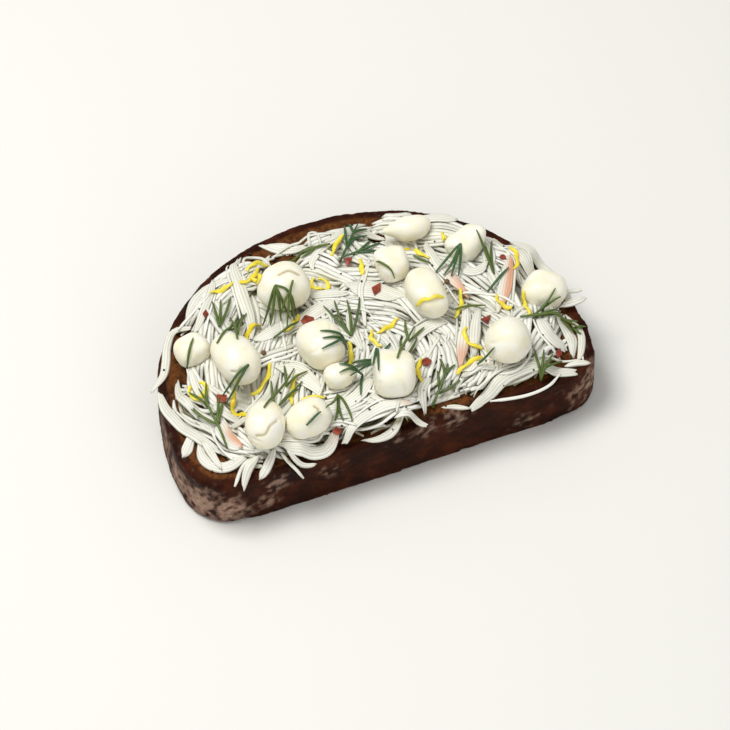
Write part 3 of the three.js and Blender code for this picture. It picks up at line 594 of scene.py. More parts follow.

# %% [markdown]
# ### Its finish
#
# Baked starch: the crumb is matt and damp brown, with painted shade in its holes. The crust is
# nearly black with a warm red-brown showing where it is thin, has a faint gloss from the tin,
# and a dry, pinkish grey bloom where flour stuck to it.

# %% Rye crust and crumb
rye_material, tree, shader = new_material("baked_rye")
place = add(tree, "ShaderNodeTexCoord").outputs["Object"]
mottle = add(
    tree,
    "ShaderNodeTexNoise",
    {"Vector": place, "Scale": 1 / (9 * MM), "Detail": 6.0, "Roughness": 0.62},
)
grit = add(
    tree,
    "ShaderNodeTexNoise",
    {"Vector": place, "Scale": 1 / (1.1 * MM), "Detail": 4.0, "Roughness": 0.7},
)
crust_colour = add(
    tree,
    "ShaderNodeValToRGB",
    {"Fac": mottle.outputs["Fac"]},
    [(0.32, "#1f0b05"), (0.5, "#34160a"), (0.7, "#512613")],
)
crumb_colour = add(
    tree,
    "ShaderNodeValToRGB",
    {"Fac": grit.outputs["Fac"]},
    [(0.3, "#3c2010"), (0.68, "#7d4d24")],
)
hole, crumb_mask, flour_mask = [
    add(tree, "ShaderNodeAttribute", attribute_name=name).outputs["Fac"]
    for name in ("hole", "crumb", "flour")
]
print("rye's colours:", len(tree.nodes), "nodes")

# %% Crumb in crust, flour and gloss
# Painted shade: the crumb is mixed towards near black in its holes.
deep = add(
    tree,
    "ShaderNodeMix",
    {FIRST: crumb_colour.outputs["Color"], SECOND: colour("#24110a"), SHARE: hole},
    data_type="RGBA",
)
bread_colour = add(
    tree,
    "ShaderNodeMix",
    {FIRST: crust_colour.outputs["Color"], SECOND: deep.outputs[MIXED], SHARE: crumb_mask},
    data_type="RGBA",
)
flour_grain = add(
    tree,
    "ShaderNodeMath",
    {0: flour_mask, 1: grit.outputs["Fac"]},
    operation="MULTIPLY",
)
flour_cover = add(
    tree,
    "ShaderNodeMath",
    {0: flour_grain.outputs[0], 1: 1.5},
    operation="MULTIPLY",
    use_clamp=True,
)
dusty = add(
    tree,
    "ShaderNodeMix",
    {FIRST: bread_colour.outputs[MIXED], SECOND: colour("#c8a58f"), SHARE: flour_cover.outputs[0]},
    data_type="RGBA",
)
gloss = add(
    tree,
    "ShaderNodeMapRange",
    {"Value": mottle.outputs["Fac"], "To Min": 0.45, "To Max": 0.8},
)
relief = add(
    tree,
    "ShaderNodeBump",
    {"Height": grit.outputs["Fac"], "Strength": 0.5, "Distance": 0.5 * MM},
)
feed(
    tree,
    shader,
    {
        "Base Color": dusty.outputs[MIXED],
        "Roughness": gloss.outputs[0],
        "Normal": relief.outputs["Normal"],
        "Specular IOR Level": 0.06,
    },
)

mesh.materials.append(rye_material)
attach(bread, "root")
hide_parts("rye_slice")
print("rye slice finished")

# %% [markdown]
# ## A pile that remembers its height
#
# A shred comes to rest on whatever lies under it. Simulating some hundreds of limp shreds
# would take far too long, so the pile is kept as a map: for each half millimetre of the
# slice, how high the food stands there. Each new strand reads the map along its path,
# bridges what it is too stiff to follow, and then raises the map itself.

# %% The map of heights
CELL = 0.5
REACH_X, REACH_Y = 84.0, 56.0
DROOP, STIFF = 1.1, 0.6  # how steeply food falls past the slice, and how far it stands out first

columns = np.arange(-REACH_X, REACH_X + CELL, CELL)
lines = np.arange(-REACH_Y, REACH_Y + CELL, CELL)
grid_x, grid_y = np.meshgrid(columns, lines)
beyond = outside_by(grid_x, grid_y)
pile = THICK - np.maximum(0, beyond - STIFF) * DROOP


def cells(x, y):
    """The map's line and column numbers for points in plan."""
    column = np.clip(np.rint((np.asarray(x) + REACH_X) / CELL), 0, len(columns) - 1)
    line = np.clip(np.rint((np.asarray(y) + REACH_Y) / CELL), 0, len(lines) - 1)
    return line.astype(int), column.astype(int)


def height_at(x, y):
    """How high the pile stands at points in plan."""
    return pile[cells(x, y)]


def raise_pile(points):
    """Raises the map to points given as rows of x, y, z."""
    np.maximum.at(pile, cells(points[:, 0], points[:, 1]), points[:, 2])


def stream(seed):
    """A repeatable stream of numbers from 0 to 1."""
    state = seed
    while True:
        state = (state + 0x6D2B79F5) & 0xFFFFFFFF
        t = ((state ^ (state >> 15)) * (1 | state)) & 0xFFFFFFFF
        t = ((t + (((t ^ (t >> 7)) * (61 | t)) & 0xFFFFFFFF)) ^ t) & 0xFFFFFFFF
        yield ((t ^ (t >> 14)) & 0xFFFFFFFF) / 2**32


def uneven(x, y, size):
    """Gentle unevenness from -1 to 1, with bumps about `size` across."""
    u, v = x / size, y / size
    across = np.sin(3.1 * u + 1.7 * np.sin(2.3 * v))
    return (across + np.sin(2.9 * v + 1.3 * np.sin(1.9 * u + 1))) / 2


print(f"a map of {pile.size} cells")

# %% [markdown]
# ## The core of the heap
#
# Between the shreds one looks into the heap, on to more crab in shade. A low dome stands
# for all that: its height depends on how far a point has gone from the outline towards the
# slice's middle. It is divided into bundles that point every way, each ribbed with its
# strands, so that a gap in the pile still shows strands. A few patches of the bread stay
# bare, and are listed by their middles and half sizes.

# %% The core's plan
FOOT, CORE_HEIGHT = 0.18, 3.4  # how far in the core starts, as a share, and its height
GOLDEN = math.radians(137.508)
BARE = [
    ((0, 44.5), (33, 4.8)),
    ((-15, 34), (6.5, 3.0)),
    ((19.5, 32.5), (3.0, 2.2)),
    ((18, -44.0), (10.0, 3.6)),
    ((44, -45.4), (17.0, 2.0)),
    ((-69, -39), (6.0, 8.0)),
    ((74, -31), (2.6, 11.0)),
    ((-50.5, -22.5), (1.6, 1.6)),
]

bearing = np.arctan2(outline[:, 1] - HUB[1], outline[:, 0] - HUB[0])
order = np.argsort(bearing)
rim = np.hypot(*(outline - HUB).T)[order]


def rim_at(angle):
    """How far the outline is from the hub in a direction."""
    return np.interp(angle, bearing[order], rim, period=2 * math.pi)


def share_inward(x, y):
    """0 on the outline and 1 at the hub, for points in plan."""
    dx, dy = x - HUB[0], y - HUB[1]
    return 1 - np.hypot(dx, dy) / rim_at(np.arctan2(dy, dx))


def from_hub(angle, share):
    """The point that lies in a direction from the hub, at a share of the way to the outline."""
    return HUB + share * rim_at(angle) * np.array([math.cos(angle), math.sin(angle)])


def spread(i, count, start=0.0):
    """The i-th of `count` points strewn evenly over the crumb by the golden angle."""
    return from_hub(start + i * GOLDEN, 0.95 * math.sqrt((i + 0.5) / count))


def is_bare(x, y, margin=0.0):
    """Whether points in plan lie within `margin` of a patch of bread that stays uncovered."""
    covered = np.ones(np.shape(x), dtype=bool)
    for middle, half in BARE:
        along, across = [(v - m) / (h + margin) for v, m, h in zip((x, y), middle, half)]
        covered &= along**2 + across**2 > 1
    return ~covered


print(f"the outline lies {rim.min():.0f} to {rim.max():.0f} mm from the hub")

# %% Its bundles and its height
BUNDLES, RIB, RAISED = 170, 2.1, 0.9  # their number, their strands' pitch, and most they rise


def bundles(x, y):
    """How far the bundle at each point in plan stands out, and 0 to 1 across each of its ribs."""
    nearest = np.full(np.shape(x), np.inf)
    lift, ribs = np.zeros(np.shape(x)), np.zeros(np.shape(x))
    draws = stream(41)
    for i in range(BUNDLES):
        seed_x, seed_y = spread(i, BUNDLES)
        dx, dy = x - seed_x, y - seed_y
        heading, raised = math.pi * next(draws), RAISED * next(draws)
        along = dx * math.cos(heading) + dy * math.sin(heading)
        across = dy * math.cos(heading) - dx * math.sin(heading)
        away = np.hypot(0.4 * along, across)
        mine = away < nearest
        lift = np.where(mine, raised, lift)
        ribs = np.where(mine, np.abs(np.sin(math.pi * (across + 0.02 * along**2) / RIB)), ribs)
        nearest = np.minimum(nearest, away)
    return lift, ribs


def core_top(x, y):
    """The core's height above the bread."""
    share = share_inward(x, y) + 0.03 * uneven(x, y, 14)
    # It climbs steeply from its foot, then ever less, and is level round the hub.
    steps = [FOOT, FOOT + 0.06, FOOT + 0.22, FOOT + 0.5, 1]
    rise = np.interp(share, steps, np.array([0.05, 0.4, 0.8, 1, 1]) * CORE_HEIGHT)
    lift, ribs = bundles(x, y)
    return np.maximum(0.15, rise + 0.5 * uneven(x, y, 9) - 0.8) + lift + 0.5 * ribs


# %% Build the core
CORE_HALF, CORE_CELLS = (76, 49.6), (240, 156)  # half the sides of its grid, and its cells

bm = bmesh.new()
bmesh.ops.create_grid(bm, x_segments=CORE_CELLS[0], y_segments=CORE_CELLS[1], size=1.0)
for v in bm.verts:
    v.co = (v.co.x * CORE_HALF[0], v.co.y * CORE_HALF[1], 0)
grid = np.array([v.co[:2] for v in bm.verts])
outer = (share_inward(*grid.T) < FOOT - 0.02) | is_bare(*grid.T)
bmesh.ops.delete(bm, geom=[v for v, out in zip(bm.verts, outer) if out], context="VERTS")
raised = bmesh.ops.extrude_face_region(bm, geom=list(bm.faces))["geom"]
upper = [g for g in raised if isinstance(g, bmesh.types.BMVert)]
for v, z in zip(upper, core_top(*np.array([v.co[:2] for v in upper]).T)):
    v.co.z = z
for v in bm.verts:
    v.co = (v.co + Vector((0, 0, THICK + 0.15))) * MM
bmesh.ops.recalc_face_normals(bm, faces=bm.faces)
mesh = mesh_from(bm, "crab_core")
mesh.shade_smooth()
core = new_object("crab_core", mesh)
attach(core, "root")

inside = (share_inward(grid_x, grid_y) > FOOT) & ~is_bare(grid_x, grid_y)
pile = np.where(inside, np.maximum(pile, THICK + core_top(grid_x, grid_y)), pile)
print(f"core {len(mesh.polygons)} faces, {pile.max() - THICK:.1f} mm high")

# %% [markdown]
# ## Strands
#
# Crab leg meat is a bundle of fine muscle fibres. Pulled apart it comes away in two ways:
# as strands about a millimetre across, and as flat shreds in which some fibres still cling
# together side by side. Both follow a path in plan, and their height comes from the pile.
# Hundreds of them share one mesh, built from arrays, since so many objects would be slow.

# %% Paths in plan
STEP = 1.4
FINE = 24  # how many steps a smooth path is worked out in from one given point to the next


def through(points, step=STEP):
    """A smooth path through points in plan, with a point about every `step` mm."""
    p = np.array(points, float)
    p = np.concatenate([[2 * p[0] - p[1]], p, [2 * p[-1] - p[-2]]])
    t = np.arange(FINE)[:, None] / FINE
    spans = [
        b + 0.5 * ((c - a) * t + (2 * a - 5 * b + 4 * c - d) * t**2 + (3 * (b - c) + d - a) * t**3)
        for a, b, c, d in zip(p, p[1:], p[2:], p[3:])
    ]
    dense = np.concatenate([*spans, p[-2:-1]])
    run = np.concatenate([[0], np.cumsum(np.hypot(*np.diff(dense, axis=0).T))])
    even = np.linspace(0, run[-1], max(4, round(run[-1] / step)) + 1)
    return np.column_stack([np.interp(even, run, dense[:, 0]), np.interp(even, run, dense[:, 1])])


def arc(at, heading, length, turn, steps):
    """A path of `steps` equal steps that turns by `turn` degrees, with its middle at `at`."""
    angles = np.radians(heading + turn * ((np.arange(steps) + 0.5) / steps - 0.5))
    moves = np.column_stack([np.cos(angles), np.sin(angles)]) * length / steps
    path = np.concatenate([[[0, 0]], np.cumsum(moves, axis=0)])
    return path - path.mean(axis=0) + at


def sideways(path):
    """The direction to the left of a path, at each of its points."""
    along = np.gradient(path, axis=0)
    along /= np.linalg.norm(along, axis=1)[:, None] + 1e-9
    return np.column_stack([-along[:, 1], along[:, 0]])


def rest_on_pile(path, half_width, stiffness, sprung=False):
    """How high a strip lies along a path: it bridges dips, or stands straight out if sprung."""
    left = sideways(path)
    touching = [path + left * half_width * side for side in (-0.7, 0, 0.7)]
    height = np.max([height_at(*p.T) for p in touching], axis=0)
    for _ in range(stiffness):
        middle = (height[:-2] + height[2:]) / 2
        height[1:-1] = np.maximum(height[1:-1], middle)
    if sprung:
        height[:] = height[0]
    return np.convolve(np.pad(height, 1, "edge"), [0.25, 0.5, 0.25], "valid")


print("a 40 mm strand has", len(through([(0, 0), (40, 0)])), "stations")


# %% Skins: rings of points closed at both ends
def close_rings(rings):
    """Points and faces of a closed skin over rings of points, given as stations x around x 3."""
    n, sides = rings.shape[:2]
    points = np.concatenate([rings.reshape(-1, 3), rings[[0, -1]].mean(axis=1)])
    row, col = np.meshgrid(np.arange(n - 1) * sides, np.arange(sides), indexing="ij")
    after = (col + 1) % sides
    quads = np.stack([row + col, row + after, row + after + sides, row + col + sides], axis=-1)
    ring = np.arange(sides)
    after = (ring + 1) % sides
    first = np.column_stack([ring, np.full(sides, n * sides), after])
    last = np.column_stack([after, np.full(sides, n * sides + 1), ring])
    last[:, [0, 2]] += (n - 1) * sides
    return points, quads.reshape(-1, 4), np.concatenate([first, last])


def tube(path, heights, half_width, half_thick, twist, sides):
    """The rings of a tube with a flattened section, turned by `twist` radians along it."""
    spine = np.column_stack([path, heights])
    along = np.gradient(spine, axis=0)
    along /= np.linalg.norm(along, axis=1)[:, None] + 1e-9
    left = np.column_stack([sideways(path), np.zeros(len(path))])
    up = np.cross(along, left)
    angle = 2 * math.pi * np.arange(sides) / sides
    out = np.cos(angle)[None, :] * half_width[:, None]
    lift = np.sin(angle)[None, :] * half_thick[:, None]
    c, s = np.cos(twist)[:, None], np.sin(twist)[:, None]
    across, high = out * c - lift * s, out * s + lift * c
    return spine[:, None] + across[..., None] * left[:, None] + high[..., None] * up[:, None]


SIDES = 5  # of a strand
print("a strand of 10 stations has", len(close_rings(np.zeros((10, SIDES, 3)))[0]), "points")


# %% Batches of skins
class Batch:
    """Skins gathered for one mesh, with numbers painted on their points."""

    def __init__(self, *painted):
        self.points, self.quads, self.ends, self.count = [], [], [], 0
        self.paints = {name: [] for name in painted}

    def take(self, rings, **paints):
        """Adds a skin. A paint is one number, or one for each point of the rings."""
        points, quads, ends = close_rings(rings)
        self.quads.append(quads + self.count)
        self.ends.append(ends + self.count)
        self.points.append(points)
        self.count += len(points)
        for name, value in paints.items():
            values = np.broadcast_to(value, rings.shape[:2])
            tips = values[[0, -1]].mean(axis=1)
            self.paints[name].append(np.concatenate([values.ravel(), tips]))

    def build(self, name, material, replaced=()):
        """Makes the mesh as one riding piece."""
        mesh = bpy.data.meshes.new(name)
        faces = [*np.concatenate(self.quads).tolist(), *np.concatenate(self.ends).tolist()]
        mesh.from_pydata((np.concatenate(self.points) * MM).tolist(), [], faces)
        mesh.shade_smooth()
        for key, values in self.paints.items():
            paint(mesh, key, np.concatenate(values))
        piece = new_object(name, mesh, material)
        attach(piece, "root")
        if replaced:
            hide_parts(*replaced)
        triangles = sum(2 * len(q) for q in self.quads) + sum(map(len, self.ends))
        print(f"{name}: {len(self.points)} skins, {triangles} triangles")
        return piece


def raise_by_rings(rings):
    """Raises the pile to a skin, and between its stations too."""
    for share in (0, 0.33, 0.67):
        between = rings[:-1] * (1 - share) + rings[1:] * share
        raise_pile(between.reshape(-1, 3))


# %% Keep strands out of the curds
PRESS = 3.0  # how steeply strands may rise from a curd's waist outwards
CLEAR = 0.2  # how far strands keep off a curd's skin


def curd_height(index):
    """The height of a curd's middle, from where its solid's lowest point lies."""
    low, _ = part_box(f"curd_{index + 1:02d}")
    return low[2] / MM + CURDS[index][1][2]


def turned_by(degrees):
    """The matrix that turns points, given as rows of x, y, z, round the upright axis."""
    c, s = math.cos(math.radians(degrees)), math.sin(math.radians(degrees))
    return np.array([[c, s, 0], [-s, c, 0], [0, 0, 1]])


def clear_curds(rings):
    """Presses points down round a curd, and moves those inside it straight out of its skin."""
    points = rings.reshape(-1, 3)
    for i, ((x, y), half, turn, boxy, _) in enumerate(CURDS):
        middle = np.array([x, y, curd_height(i)])
        away = points - middle
        near = np.linalg.norm(away, axis=1) < max(half) * 1.5 + CLEAR
        if not near.any():
            continue
        local = away[near] @ turned_by(-turn) / (np.array(half) + CLEAR)
        beside = (np.abs(local[:, :2]) ** boxy).sum(axis=1) ** (1 / boxy)
        pressed = np.minimum(local[:, 2], PRESS * np.maximum(0, beside - 1))
        away[near, 2] += (pressed - local[:, 2]) * (half[2] + CLEAR)
        local[:, 2] = pressed
        depth = (np.abs(local) ** boxy).sum(axis=1) ** (1 / boxy)
        scale = np.where(depth < 1, 1 / np.maximum(depth, 0.2), 1)
        points[near] = middle + away[near] * scale[:, None]
    on_slice = outside_by(points[:, 0], points[:, 1]) < 0.5
    points[on_slice, 2] = np.maximum(points[on_slice, 2], THICK - SUNK + 0.05)
    return points.reshape(rings.shape)


print("curds stand", [round(curd_height(i)) for i in range(len(CURDS))], "mm high at the middle")


# %% Lay one strand
TIP, BITE = 0.35, 0.3  # a strand's width at its tips, as a share, and how deep it presses in
PITCH, THREAD = 1.55, 1.1  # the spacing and thickness of strands that lie side by side
SPLAY, WANDER = 1.6, 0.3  # how far they part at an end, and how far they waver
UNEVEN_ENDS = 0.15  # the share of its length by which one may end before the next


def lay_strand(batch, path, width, thick, draws, bite=BITE, stiffness=3, sprung=False):
    """Lays one strand on the pile and adds it to a batch."""
    t = np.linspace(0, 1, len(path))
    shape = TIP + (1 - TIP) * np.minimum(1, np.sin(math.pi * np.clip(t, 0.02, 0.98)) * 2.2)
    heights = rest_on_pile(path, width / 2, stiffness, sprung) + thick / 2 - bite
    twist = (next(draws) - 0.5) * 0.9 + np.sin(4 * t + 6 * next(draws)) * 0.35
    rings = tube(path, heights, shape * width / 2, np.sqrt(shape) * thick / 2, twist, SIDES)
    rings = clear_curds(rings)
    batch.take(rings, tint=next(draws), blush=0.0, groove=0.0)
    raise_by_rings(rings)


def lay_tress(batch, path, width, draws):
    """Lays strands side by side that work loose from each other at their ends."""
    count = max(1, round(width / PITCH))
    left = sideways(path)
    t = np.linspace(0, 1, len(path))
    for j in range(count):
        side = (j + 0.5) / count * 2 - 1
        loose = np.clip(2 * t - 1 if next(draws) < 0.5 else 1 - 2 * t, 0, 1)
        wander = WANDER * np.sin(2 * math.pi * (t * (1 + next(draws)) + next(draws)))
        splay = (next(draws) - 0.5) * SPLAY
        offset = side * width / 2 + wander + splay * loose**2
        start = int(next(draws) ** 2 * UNEVEN_ENDS * len(path))
        stop = len(path) - int(next(draws) ** 2 * UNEVEN_ENDS * len(path))
        strand = (path + left * offset[:, None])[start:stop]
        if len(strand) >= 5:
            lay_strand(batch, strand, 1.6 + 0.6 * next(draws), THREAD, draws)


# %% [markdown]
# ### Flat shreds
#
# A flat shred shows its fibres as ridges with narrow grooves between them. It is arched
# across, thin at its edges, leans with the pile under it, and ends raggedly, because each
# fibre tore at a place of its own. So each fibre's stations run from its own start to its
# own end, along the same path.


# %% The parts of a shred
FIBRE, PER_FIBRE = 1.05, 4  # a fibre's breadth, and how many points lie across it
TORN, SLANT = 2.2, 0.9  # how raggedly a shred's ends are torn, and how much aslant
GROWN = 20.0  # shreds shorter than this are torn in proportion


def torn_spots(n, width, place, middles, draws):
    """Where a shred's points lie along its path, as each fibre starts and ends at its own."""
    share = min(1, n * STEP / GROWN)
    slants = [(next(draws) - 0.5) * width * SLANT * share for _ in range(2)]
    torn = [np.array([next(draws) for _ in middles]) * TORN * share for _ in range(2)]
    starts, stops = [
        np.interp(place, middles, ragged) + abs(slant) + slant * (place * 2 - 1)
        for ragged, slant in zip(torn, slants)
    ]
    t = np.linspace(0, 1, n)[:, None]
    return np.clip((starts + (n - 1) * STEP * t - (starts + stops) * t) / STEP, 0, n - 1)


def pinkness(pink, t, across):
    """How pink a shred is along and across it: from where to where, on which side, how much."""
    from_t, to_t, side, strength = pink
    along = smoothstep(from_t, to_t, t) if from_t < to_t else smoothstep(-from_t, -to_t, -t)
    return strength * along * (smoothstep(-0.6, 0.5, across * side) if side else 1)


# %% Lay one shred
SHRED_BITE, LEAN = 0.35, 0.4  # how deep a shred presses in, and how steeply it may lean
NARROW = 0.14  # a shred's width at its ends, as a share
THICKEST, RIDGE = 1.9, 0.36  # most it is thick, and how high a fibre stands over its grooves


def lay_shred(batch, route, width, draws, pink=None, sprung=False):
    """Lays one flat shred on the pile and adds it to a batch."""
    path = through(route)
    n = len(path)
    fibres = max(2, round(width / FIBRE))
    middles = (np.arange(fibres) + 0.5) / fibres
    place = np.linspace(0, 1, fibres * PER_FIBRE + 1)
    across = place * 2 - 1
    ridge = np.abs(np.sin(math.pi * place * fibres)) ** 0.6

    heights = rest_on_pile(path, width / 2, 2, sprung) - SHRED_BITE
    left = sideways(path)
    reach = left * width * 0.45
    lean = (height_at(*(path + reach).T) - height_at(*(path - reach).T)) / (0.9 * width)
    lean = np.convolve(np.pad(np.clip(lean, -LEAN, LEAN), 3, "edge"), np.ones(7) / 7, "valid")

    spot = torn_spots(n, width, place, middles, draws)
    t = np.linspace(0, 1, n)[:, None]
    narrow = NARROW + (1 - NARROW) * np.sin(math.pi * (0.03 + 0.94 * t)) ** 0.55
    ripple = 0.06 * np.sin(t * 9 + 6 * next(draws))
    out = across * width / 2 * (narrow + ripple)
    x, y, z, left_x, left_y, tilt = (
        np.interp(spot, np.arange(n), values) for values in (*path.T, heights, *left.T, lean)
    )
    arch = min(THICKEST, 0.75 + 0.22 * width) * (1 - 0.6 * across**2)
    relief = RIDGE * (ridge - 1) * (1 - 0.5 * np.abs(across))
    bottom = z + tilt * out + 0.1
    top = np.maximum(z + tilt * out + (arch + relief) * np.sqrt(narrow), bottom + 0.15)
    upper, lower = (
        np.stack([x + left_x * out, y + left_y * out, side], axis=-1) for side in (top, bottom)
    )
    lower = lower[:, -2:0:-PER_FIBRE]
    rings = clear_curds(np.concatenate([upper, lower], axis=1)[:, ::-1])

    shade = np.interp(place, middles, [next(draws) for _ in middles])
    tint = np.clip(0.35 * next(draws) + 0.65 * shade, 0, 1)
    red = np.broadcast_to(pinkness(pink, t, across) if pink else 0.0, (n, len(place)))
    under = lower.shape[1]
    tint = np.concatenate([tint, np.zeros(under)])[::-1]
    red = np.concatenate([red, np.zeros((n, under))], axis=1)[:, ::-1]
    # Painted shade: full in the grooves between fibres and on the underside, none on the ridges.
    groove = np.concatenate([1 - ridge, np.ones(under)])[::-1]
    batch.take(rings, tint=tint, blush=red, groove=groove)
    raise_by_rings(rings)


# %% [markdown]
# ### Which way the strands run
#
# A handful of pulled meat is combed by the fingers that drop it: neighbouring strands run
# alike, round the edge along the crust and in the middle from front to back, and only a few
# lie across. So each strand drifts with a flow that is the same for all, turned a little
# off it by a draw of its own.

# %% The flow
HALF_BREADTH = (BACK - FRONT) / 2


def flow(x, y):
    """Which way the strands run at a point in plan, in radians."""
    dx, dy = x - HUB[0], y - HUB[1]
    rim_way = math.atan2(dx / HALF_LENGTH**2, -dy / HALF_BREADTH**2)
    swirl = math.pi / 2 + 1.1 * float(uneven(x, y, 52))
    edge = 1 - float(smoothstep(0.12, 0.42, share_inward(x, y)))
    c = edge * math.cos(2 * rim_way) + (1 - edge) * math.cos(2 * swirl)
    s = edge * math.sin(2 * rim_way) + (1 - edge) * math.sin(2 * swirl)
    return math.atan2(s, c) / 2


def drift(at, length, bias, curl):
    """A path through `at` that keeps `bias` radians off the flow and curls as it goes."""
    halves = []
    for way in (1, -1):
        point, heading, half = np.array(at, dtype=float), None, []
        for k in range(round(length / 2 / STEP)):
            angle = flow(*point) + bias + way * curl * k * STEP
            step = np.array([math.cos(angle), math.sin(angle)])
            if heading is None:
                heading = way * step
            heading = step if step @ heading > 0 else -step
            point = point + STEP * heading
            half.append(point)
        halves.append(half)
    return np.array([*halves[1][::-1], at, *halves[0]])


def longest_run(path, inset, half_width=0.0):
    """The longest stretch of a path whose whole width lies on the crumb, off the bare patches."""
    lies = (outside_by(*path.T) < -inset - half_width) & ~is_bare(*path.T, half_width)
    edges = np.flatnonzero(np.diff(np.concatenate([[0], lies.astype(int), [0]])))
    runs = list(zip(edges[::2], edges[1::2]))
    start, stop = max(runs, key=lambda run: run[1] - run[0], default=(0, 0))
    return path[start:stop]


print(f"strands run at {math.degrees(flow(0, 0)):.0f} degrees in the middle")

# %% The unnamed strands
TRESSES, RIM_TRESSES = 170, 34
RIM_BACK = 6.0  # along the crust, none further back than this
FULL = THICK + 8.5  # where the pile is this high already, no more is laid

draws = stream(29)
bed = Batch("tint", "blush", "groove")
for i in range(TRESSES):
    across = 1.1 if i % 5 == 2 else 0.35
    bias = (next(draws) - 0.5) * 2 * across
    curl = (next(draws) - 0.5) * 0.07
    length = 26 + 26 * next(draws)
    width = 3.4 + 3.6 * next(draws)
    path = longest_run(drift(spread(i, TRESSES), length, bias, curl), 3.6, width / 2)
    if len(path) >= 8 and height_at(*path.T).max() < FULL:
        lay_tress(bed, path, width, draws)

# Along the crust, but for the back, they lie closer, and none across.
for i in range(RIM_TRESSES):
    turned = 2 * math.pi * (i + 0.6 * next(draws)) / RIM_TRESSES
    middle = from_hub(turned, 0.78 + 0.1 * next(draws))
    bias, width = (next(draws) - 0.5) * 0.5, 3.0 + 2.4 * next(draws)
    path = longest_run(drift(middle, 20 + 14 * next(draws), bias, 0.0), 3.4, width / 2)
    if len(path) >= 6 and middle[1] < RIM_BACK and height_at(*path.T).max() < FULL:
        lay_tress(bed, path, width, draws)

print(f"bed {pile.max() - THICK:.1f} mm high after {TRESSES + RIM_TRESSES} tresses")

# %% The named shreds
STRING = 1.9  # what is narrower than this is one strand
# Where a shred is pink: from where to where along it, on which side, and how strongly.
PINK = {
    9: (0.2, 0.8, 1, 0.9),
    23: (0.5, 0.95, 0, 0.85),
    26: (0.0, 0.01, 1, 0.9),
    33: (0.45, 0.15, 0, 0.75),
    46: (0.7, 1.0, -1, 0.35),
    47: (0.7, 1.0, 0, 0.3),
    49: (0.8, 1.0, 0, 0.4),
}

shreds = Batch("tint", "blush", "groove")
for i, (width, *route) in enumerate(SHREDS):
    sprung = i in SPRUNG
    if width < STRING:
        lay_strand(shreds, through(route), max(1.2, width), 1.0, draws, 0.2, 6, sprung)
        continue
    lay_shred(shreds, route, width, draws, PINK.get(i), sprung)
    if width > 2.8 and not sprung and next(draws) < 0.6:
        path = through(route)
        t = np.linspace(0, 1, len(path))[:, None]
        splay = (1 if next(draws) < 0.5 else -1) * (width * 0.5 + 2.0 * t**2)
        strand = (path + sideways(path) * splay)[round(len(path) * 0.35 * next(draws)) :]
        strand = longest_run(strand, 2.0)
        if len(strand) >= 5:
            lay_strand(shreds, strand, 1.0, 0.9, draws)

# %% Loose strands on top
LOOSE = 18
for i in range(LOOSE):
    bias, curl = (next(draws) - 0.5) * 1.2, (next(draws) - 0.5) * 0.16
    path = longest_run(drift(spread(i, LOOSE, 2.0), 12 + 12 * next(draws), bias, curl), 3.2)
    if len(path) > 6:
        lay_strand(shreds, path, 1.3, 0.95, draws, bite=0.15, stiffness=1)

print(f"heap {pile.max() - THICK:.1f} mm high")

# %% [markdown]
# ### How the pile settles
#
# What lies loosely on top sinks under its own weight, so a heap is flatter than it would be
# if each strand kept the height at which it was laid. At the back it runs out low.

# %% Settle the pile
FIRM, LOW_BACK = THICK + 6.5, 4.0  # the firm height, and how much lower it is at the back
GIVE = 0.4  # the share that is left of what stands above it


def settled(x, y, z):
    """Where a point of the pile comes to lie: whatever is above the firm height sinks."""
    back_edge = smoothstep(2.0, 12.0, y) * (1 - smoothstep(2.0, 16.0, -outside_by(x, y)))
    firm = FIRM - LOW_BACK * back_edge
    return np.minimum(z, firm + GIVE * (z - firm))


for batch in (bed, shreds):
    for points in batch.points:
        points[:, 2] = settled(*points.T)
pile = settled(grid_x, grid_y, pile)
print(f"heap {pile.max() - THICK:.1f} mm high once settled")

# %% [markdown]
# ### Their finish
#
# Cooked crab is set protein: white, moist and slightly translucent, so a little light goes
# into each strand and comes out again. Strands differ in whiteness and a few keep the pink of
# the shell's lining. Painted shade dulls those deep in the heap, the grooves between fibres and
# the shreds' undersides.

# %% Cooked crab
crab_material, tree, shader = new_material("cooked_crab")
place = add(tree, "ShaderNodeTexCoord").outputs["Object"]
tint, blush, buried_shade, groove = [
    add(tree, "ShaderNodeAttribute", attribute_name=name).outputs["Fac"]
    for name in ("tint", "blush", "buried_shade", "groove")
]
# Muscle fibres are about a tenth of this across, too fine to show, so their grain is drawn
# as coarse as it needs to be seen.
fibre = add(
    tree,
    "ShaderNodeTexNoise",
    {"Vector": place, "Scale": 1 / (0.8 * MM), "Detail": 3.0, "Roughness": 0.6},
)
white = add(
    tree,
    "ShaderNodeValToRGB",
    {"Fac": tint},
    [(0.0, "#e4e4d8"), (0.5, "#f1f0e4"), (1.0, "#fbfaf2")],
)
pink = add(
    tree,
    "ShaderNodeMix",
    {FIRST: white.outputs["Color"], SECOND: colour("#e6a07a"), SHARE: blush},
    data_type="RGBA",
)
